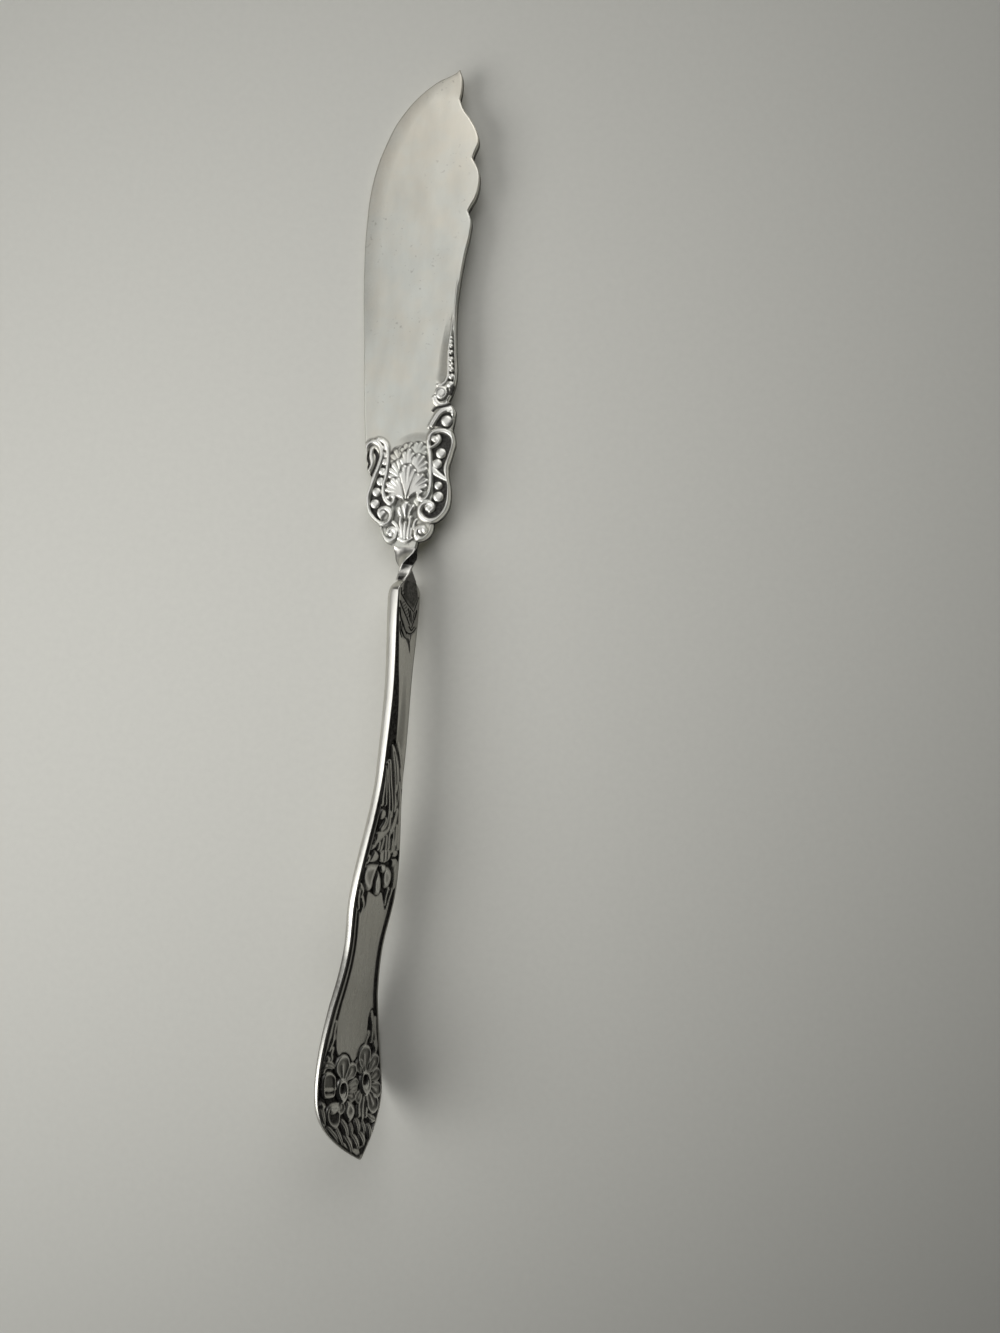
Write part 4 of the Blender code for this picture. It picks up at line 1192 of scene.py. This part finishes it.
class Nodes:
    """Short way to add and join shader nodes."""

    def __init__(self, name):
        self.material = bpy.data.materials.new(name)
        self.material.use_nodes = True
        self.tree = self.material.node_tree
        self.shader = self.tree.nodes["Principled BSDF"]

    def add(self, kind, **values):
        """Node with its settings, and with its sockets' values where a name starts with in_."""
        node = self.tree.nodes.new(kind)
        for key, value in values.items():
            if key.startswith("in_"):
                name = key[3:].replace("_", " ")
                node.inputs[int(name) if name.isdigit() else name].default_value = value
            else:
                setattr(node, key, value)
        return node

    def join(self, source, target):
        self.tree.links.new(source, target)

    def feed(self, socket, value):
        """Set a socket to a number or colour, or join an output to it."""
        if isinstance(value, (float, tuple)):
            socket.default_value = value
        else:
            self.join(value, socket)

    def spot(self):
        """Place in the frame of the knife, in metres."""
        return self.add("ShaderNodeTexCoord").outputs["Object"]

    def along(self):
        """Place along the knife, in metres towards the tip."""
        parts = self.add("ShaderNodeSeparateXYZ")
        self.join(self.spot(), parts.inputs[0])
        return parts.outputs["Y"]

    def layer(self, name):
        """Value that the mesh holds at each point."""
        return self.add("ShaderNodeAttribute", attribute_name=name).outputs["Fac"]

    def noise(self, scale, detail, stretch=(1.0, 1.0, 1.0)):
        """Noise in the frame of the knife, in features per metre."""
        mapping = self.add("ShaderNodeMapping", in_Scale=stretch)
        noise = self.add("ShaderNodeTexNoise", in_Scale=scale, in_Detail=detail)
        self.join(self.spot(), mapping.inputs["Vector"])
        self.join(mapping.outputs["Vector"], noise.inputs["Vector"])
        return noise.outputs["Fac"]

    def span(self, value, from_low, from_high, to_low, to_high):
        """Value moved from one range to another."""
        node = self.add("ShaderNodeMapRange", in_1=from_low, in_2=from_high, in_3=to_low, in_4=to_high)
        self.join(value, node.inputs[0])
        return node.outputs[0]

    def maths(self, operation, a, b):
        node = self.add("ShaderNodeMath", operation=operation)
        self.feed(node.inputs[0], a)
        self.feed(node.inputs[1], b)
        return node.outputs[0]

    def mix(self, share, a, b):
        """Colour between two others."""
        node = self.add("ShaderNodeMix", data_type="RGBA")
        self.join(share, node.inputs[0])
        self.feed(node.inputs[6], a)
        self.feed(node.inputs[7], b)
        return node.outputs[2]


FILM_COLOUR = (0.4, 0.385, 0.335, 1.0)
POLISHED_COLOUR = (0.95, 0.94, 0.89, 1.0)
PIT_COLOUR = (0.2, 0.17, 0.13, 1.0)
# Dark colour of the patina in hollows, also used for painted shade and painted dark reflections.
DARK_OXIDE_AND_SHADE = (0.018, 0.016, 0.015, 1.0)
# Noises: features per metre, detail and stretch. Spans: the range read, and what it becomes.
BLOTCHES, BLOTCH_SPAN = (260.0, 4.0), (0.38, 0.68, 0.0, 0.6)
GRAIN, GRAIN_SPAN = (2600.0, 2.0), (0.25, 0.7, 0.9, 1.06)
SPECKS, SPECK_SPAN = (1500.0, 1.0), (0.66, 0.76, 0.0, 1.0)
PATCHES, PATCH_RANGE = (110.0, 1.0), (0.48, 0.6)
HAZE, HAZE_RANGE = (330.0, 9.0, (1.0, 0.45, 1.0)), (0.34, 0.7)
STREAKS, STREAK_RANGE = (1500.0, 3.0), (0.3, 0.7)
OXIDE_AND_SHADE_SPAN = (0.15, 0.85, 0.0, 0.97)
WORN_RANGE = (0.0, 0.3)
TIP_RANGE = (0.058, 0.084)
POLISH_SHARE, POLISH_GLOSS = 0.7, 0.12
STREAK_ROUGHNESS, OXIDE_AND_SHADE_ROUGHNESS = 0.04, 0.35
STREAK_BUMP, STREAK_HEIGHT = 0.12, 0.00002


def silver_plate(name, tone, warm, roughness, streaks, oxide_and_shade=DARK_OXIDE_AND_SHADE, worn_edge=0.0, tip_warmth=0.0,
                 mottle=0.12, pitting=0.12):
    """Worn silver plate with dark patina in its hollows; the same dark colour also paints shade and dark
    reflections on some faces.
    """
    nodes = Nodes(name)
    shader = nodes.shader
    shader.inputs["Metallic"].default_value = 1.0
    # This layer holds the patina in hollows and the painted shade on some faces.
    hollow, polish = nodes.layer("tarnish"), nodes.layer("polish")
    grain = nodes.span(nodes.noise(*GRAIN), *GRAIN_SPAN)
    # Share of the dark colour: patina, and painted shade where the layer carries it.
    oxide_and_shade_share = nodes.maths("MULTIPLY", nodes.span(hollow, *OXIDE_AND_SHADE_SPAN), grain)
    blotch = nodes.span(nodes.noise(*BLOTCHES), *BLOTCH_SPAN)
    lean = nodes.span(nodes.along(), *TIP_RANGE, 0.0, tip_warmth)
    colour = nodes.mix(nodes.maths("ADD", blotch, lean), tone, warm)
    haze = nodes.span(nodes.noise(*HAZE), *HAZE_RANGE, 0.0, mottle)
    colour = nodes.mix(haze, colour, FILM_COLOUR)
    speck = nodes.span(nodes.noise(*SPECKS), *SPECK_SPAN)
    patch = nodes.span(nodes.noise(*PATCHES), *PATCH_RANGE, 0.0, pitting)
    colour = nodes.mix(nodes.maths("MULTIPLY", speck, patch), colour, PIT_COLOUR)
    colour = nodes.mix(nodes.span(polish, 0.0, 1.0, 0.0, POLISH_SHARE), colour, POLISHED_COLOUR)
    nodes.join(nodes.mix(oxide_and_shade_share, colour, oxide_and_shade), shader.inputs["Base Color"])

    streak = nodes.noise(*STREAKS, streaks)
    rough = nodes.span(streak, *STREAK_RANGE, roughness - STREAK_ROUGHNESS, roughness + STREAK_ROUGHNESS)
    rough = nodes.maths("ADD", rough, nodes.span(oxide_and_shade_share, 0.0, 1.0, 0.0, OXIDE_AND_SHADE_ROUGHNESS))
    rough = nodes.maths("ADD", rough, nodes.span(hollow, *WORN_RANGE, worn_edge, 0.0))
    rough = nodes.maths("ADD", rough, nodes.span(polish, 0.0, 1.0, 0.0, -POLISH_GLOSS * roughness))
    nodes.join(rough, shader.inputs["Roughness"])
    bump = nodes.add("ShaderNodeBump", in_Strength=STREAK_BUMP, in_Distance=STREAK_HEIGHT)
    nodes.join(streak, bump.inputs["Height"])
    nodes.join(bump.outputs["Normal"], shader.inputs["Normal"])
    return nodes.material


CLOTH_DARK, CLOTH_LIGHT = (0.81, 0.80, 0.735, 1.0), (0.87, 0.86, 0.79, 1.0)
# Painted shade: away from the knife the cloth turns to this darker colour, fully at this distance in metres.
CLOTH_PAINTED_SHADE, PAINTED_SHADE_REACH = (0.30, 0.30, 0.275, 1.0), 0.26
CLOTH_ROUGHNESS, WEAVE = 0.9, (900.0, 4.0)


def floor_material():
    """Plain pale cloth, with painted shade that darkens it away from the knife."""
    nodes = Nodes("table")
    away = nodes.add("ShaderNodeVectorMath", operation="LENGTH")
    nodes.join(nodes.spot(), away.inputs[0])
    # Painted shade that grows with the distance from the knife.
    painted_falloff = nodes.add("ShaderNodeMapRange", interpolation_type="SMOOTHSTEP", in_2=PAINTED_SHADE_REACH)
    nodes.join(away.outputs["Value"], painted_falloff.inputs[0])
    weave = nodes.mix(nodes.noise(*WEAVE), CLOTH_DARK, CLOTH_LIGHT)
    nodes.join(nodes.mix(painted_falloff.outputs[0], weave, CLOTH_PAINTED_SHADE), nodes.shader.inputs["Base Color"])
    nodes.shader.inputs["Roughness"].default_value = CLOTH_ROUGHNESS
    return nodes.material


# Stage
TABLE_HALF = 6.0
ROOM_COLOUR, ROOM_STRENGTH = (1.0, 1.0, 0.98, 1.0), 0.01
LIGHT_TARGET = (0.0, -0.01, 0.0)
WINDOW_SIZE = (0.288, 0.198)
# Name, place, size and watts of each light.
LIGHTS = (
    ("window", (-0.3007, -0.063, 0.1908), WINDOW_SIZE, 0.405),
    ("low_window", (-0.2805, -0.2064, 0.1112), WINDOW_SIZE, 0.15),
    ("near_window", (-0.2501, -0.1851, 0.1908), WINDOW_SIZE, 0.47),
    ("far_wall", (0.0353, 0.393, 0.2939), (0.5, 0.3), 0.92),
    ("ceiling", (-0.1177, 0.1302, 0.4111), (0.315, 0.225), 0.2),
)


def add_camera():
    """Camera of the photograph."""
    camera = bpy.data.cameras.new("photo_camera")
    camera.sensor_width = SENSOR_MM
    camera.lens = FOCAL_PIXELS * SENSOR_MM / PHOTO_LONG_SIDE
    camera.clip_start = CLIP_START
    holder = add_object("photo_camera", camera)
    holder.location = CAMERA_PLACE * MM
    holder.rotation_euler = (0.0, 0.0, CAMERA_TURN)
    bpy.context.scene.camera = holder


def add_area(name, location, size, watts):
    """Soft rectangular light that faces the knife."""
    light = bpy.data.lights.new(name, "AREA")
    light.shape = "RECTANGLE"
    light.size, light.size_y = size
    light.energy = watts
    holder = add_object(name, light)
    holder.location = location
    aim = Vector(LIGHT_TARGET) - Vector(location)
    holder.rotation_euler = aim.to_track_quat("-Z", "Y").to_euler()


def add_stage():
    """Table, room and lights."""
    mesh = bpy.data.meshes.new("table")
    corners = [(x * TABLE_HALF, y * TABLE_HALF, 0.0) for x, y in ((-1, -1), (1, -1), (1, 1), (-1, 1))]
    mesh.from_pydata(corners, [], [(0, 1, 2, 3)])
    mesh.materials.append(floor_material())
    table = add_object("table", mesh)
    world = bpy.data.worlds.new("room")
    world.use_nodes = True
    background = world.node_tree.nodes["Background"]
    background.inputs["Color"].default_value = ROOM_COLOUR
    background.inputs["Strength"].default_value = ROOM_STRENGTH
    bpy.context.scene.world = world
    for light in LIGHTS:
        add_area(*light)
    bpy.context.scene.view_settings.view_transform = "Standard"


PLATES = dict(
    blade_silver=dict(
        tone=(0.782, 0.79, 0.727, 1.0), warm=(0.815, 0.775, 0.67, 1.0), oxide_and_shade=(0.07, 0.067, 0.063, 1.0),
        roughness=0.46, streaks=(1.0, 0.06, 1.0), tip_warmth=0.8, mottle=0.2, pitting=0.3,
    ),
    neck_silver=dict(
        tone=(0.62, 0.61, 0.57, 1.0), warm=(0.6, 0.585, 0.54, 1.0), roughness=0.34, streaks=(1.0, 0.2, 1.0),
    ),
    handle_silver=dict(
        tone=(0.62, 0.61, 0.565, 1.0), warm=(0.595, 0.58, 0.53, 1.0), roughness=0.2, streaks=(1.0, 0.1, 1.0),
        worn_edge=0.12,
    ),
)

add_camera()
for build, node, slot in (
    (build_blade, "blade", "blade_silver"),
    (build_neck, "twisted_neck", "neck_silver"),
    (build_handle, "handle", "handle_silver"),
):
    piece = build(silver_plate(slot, **PLATES[slot]))
    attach(piece, "root")
    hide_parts(node)
add_stage()
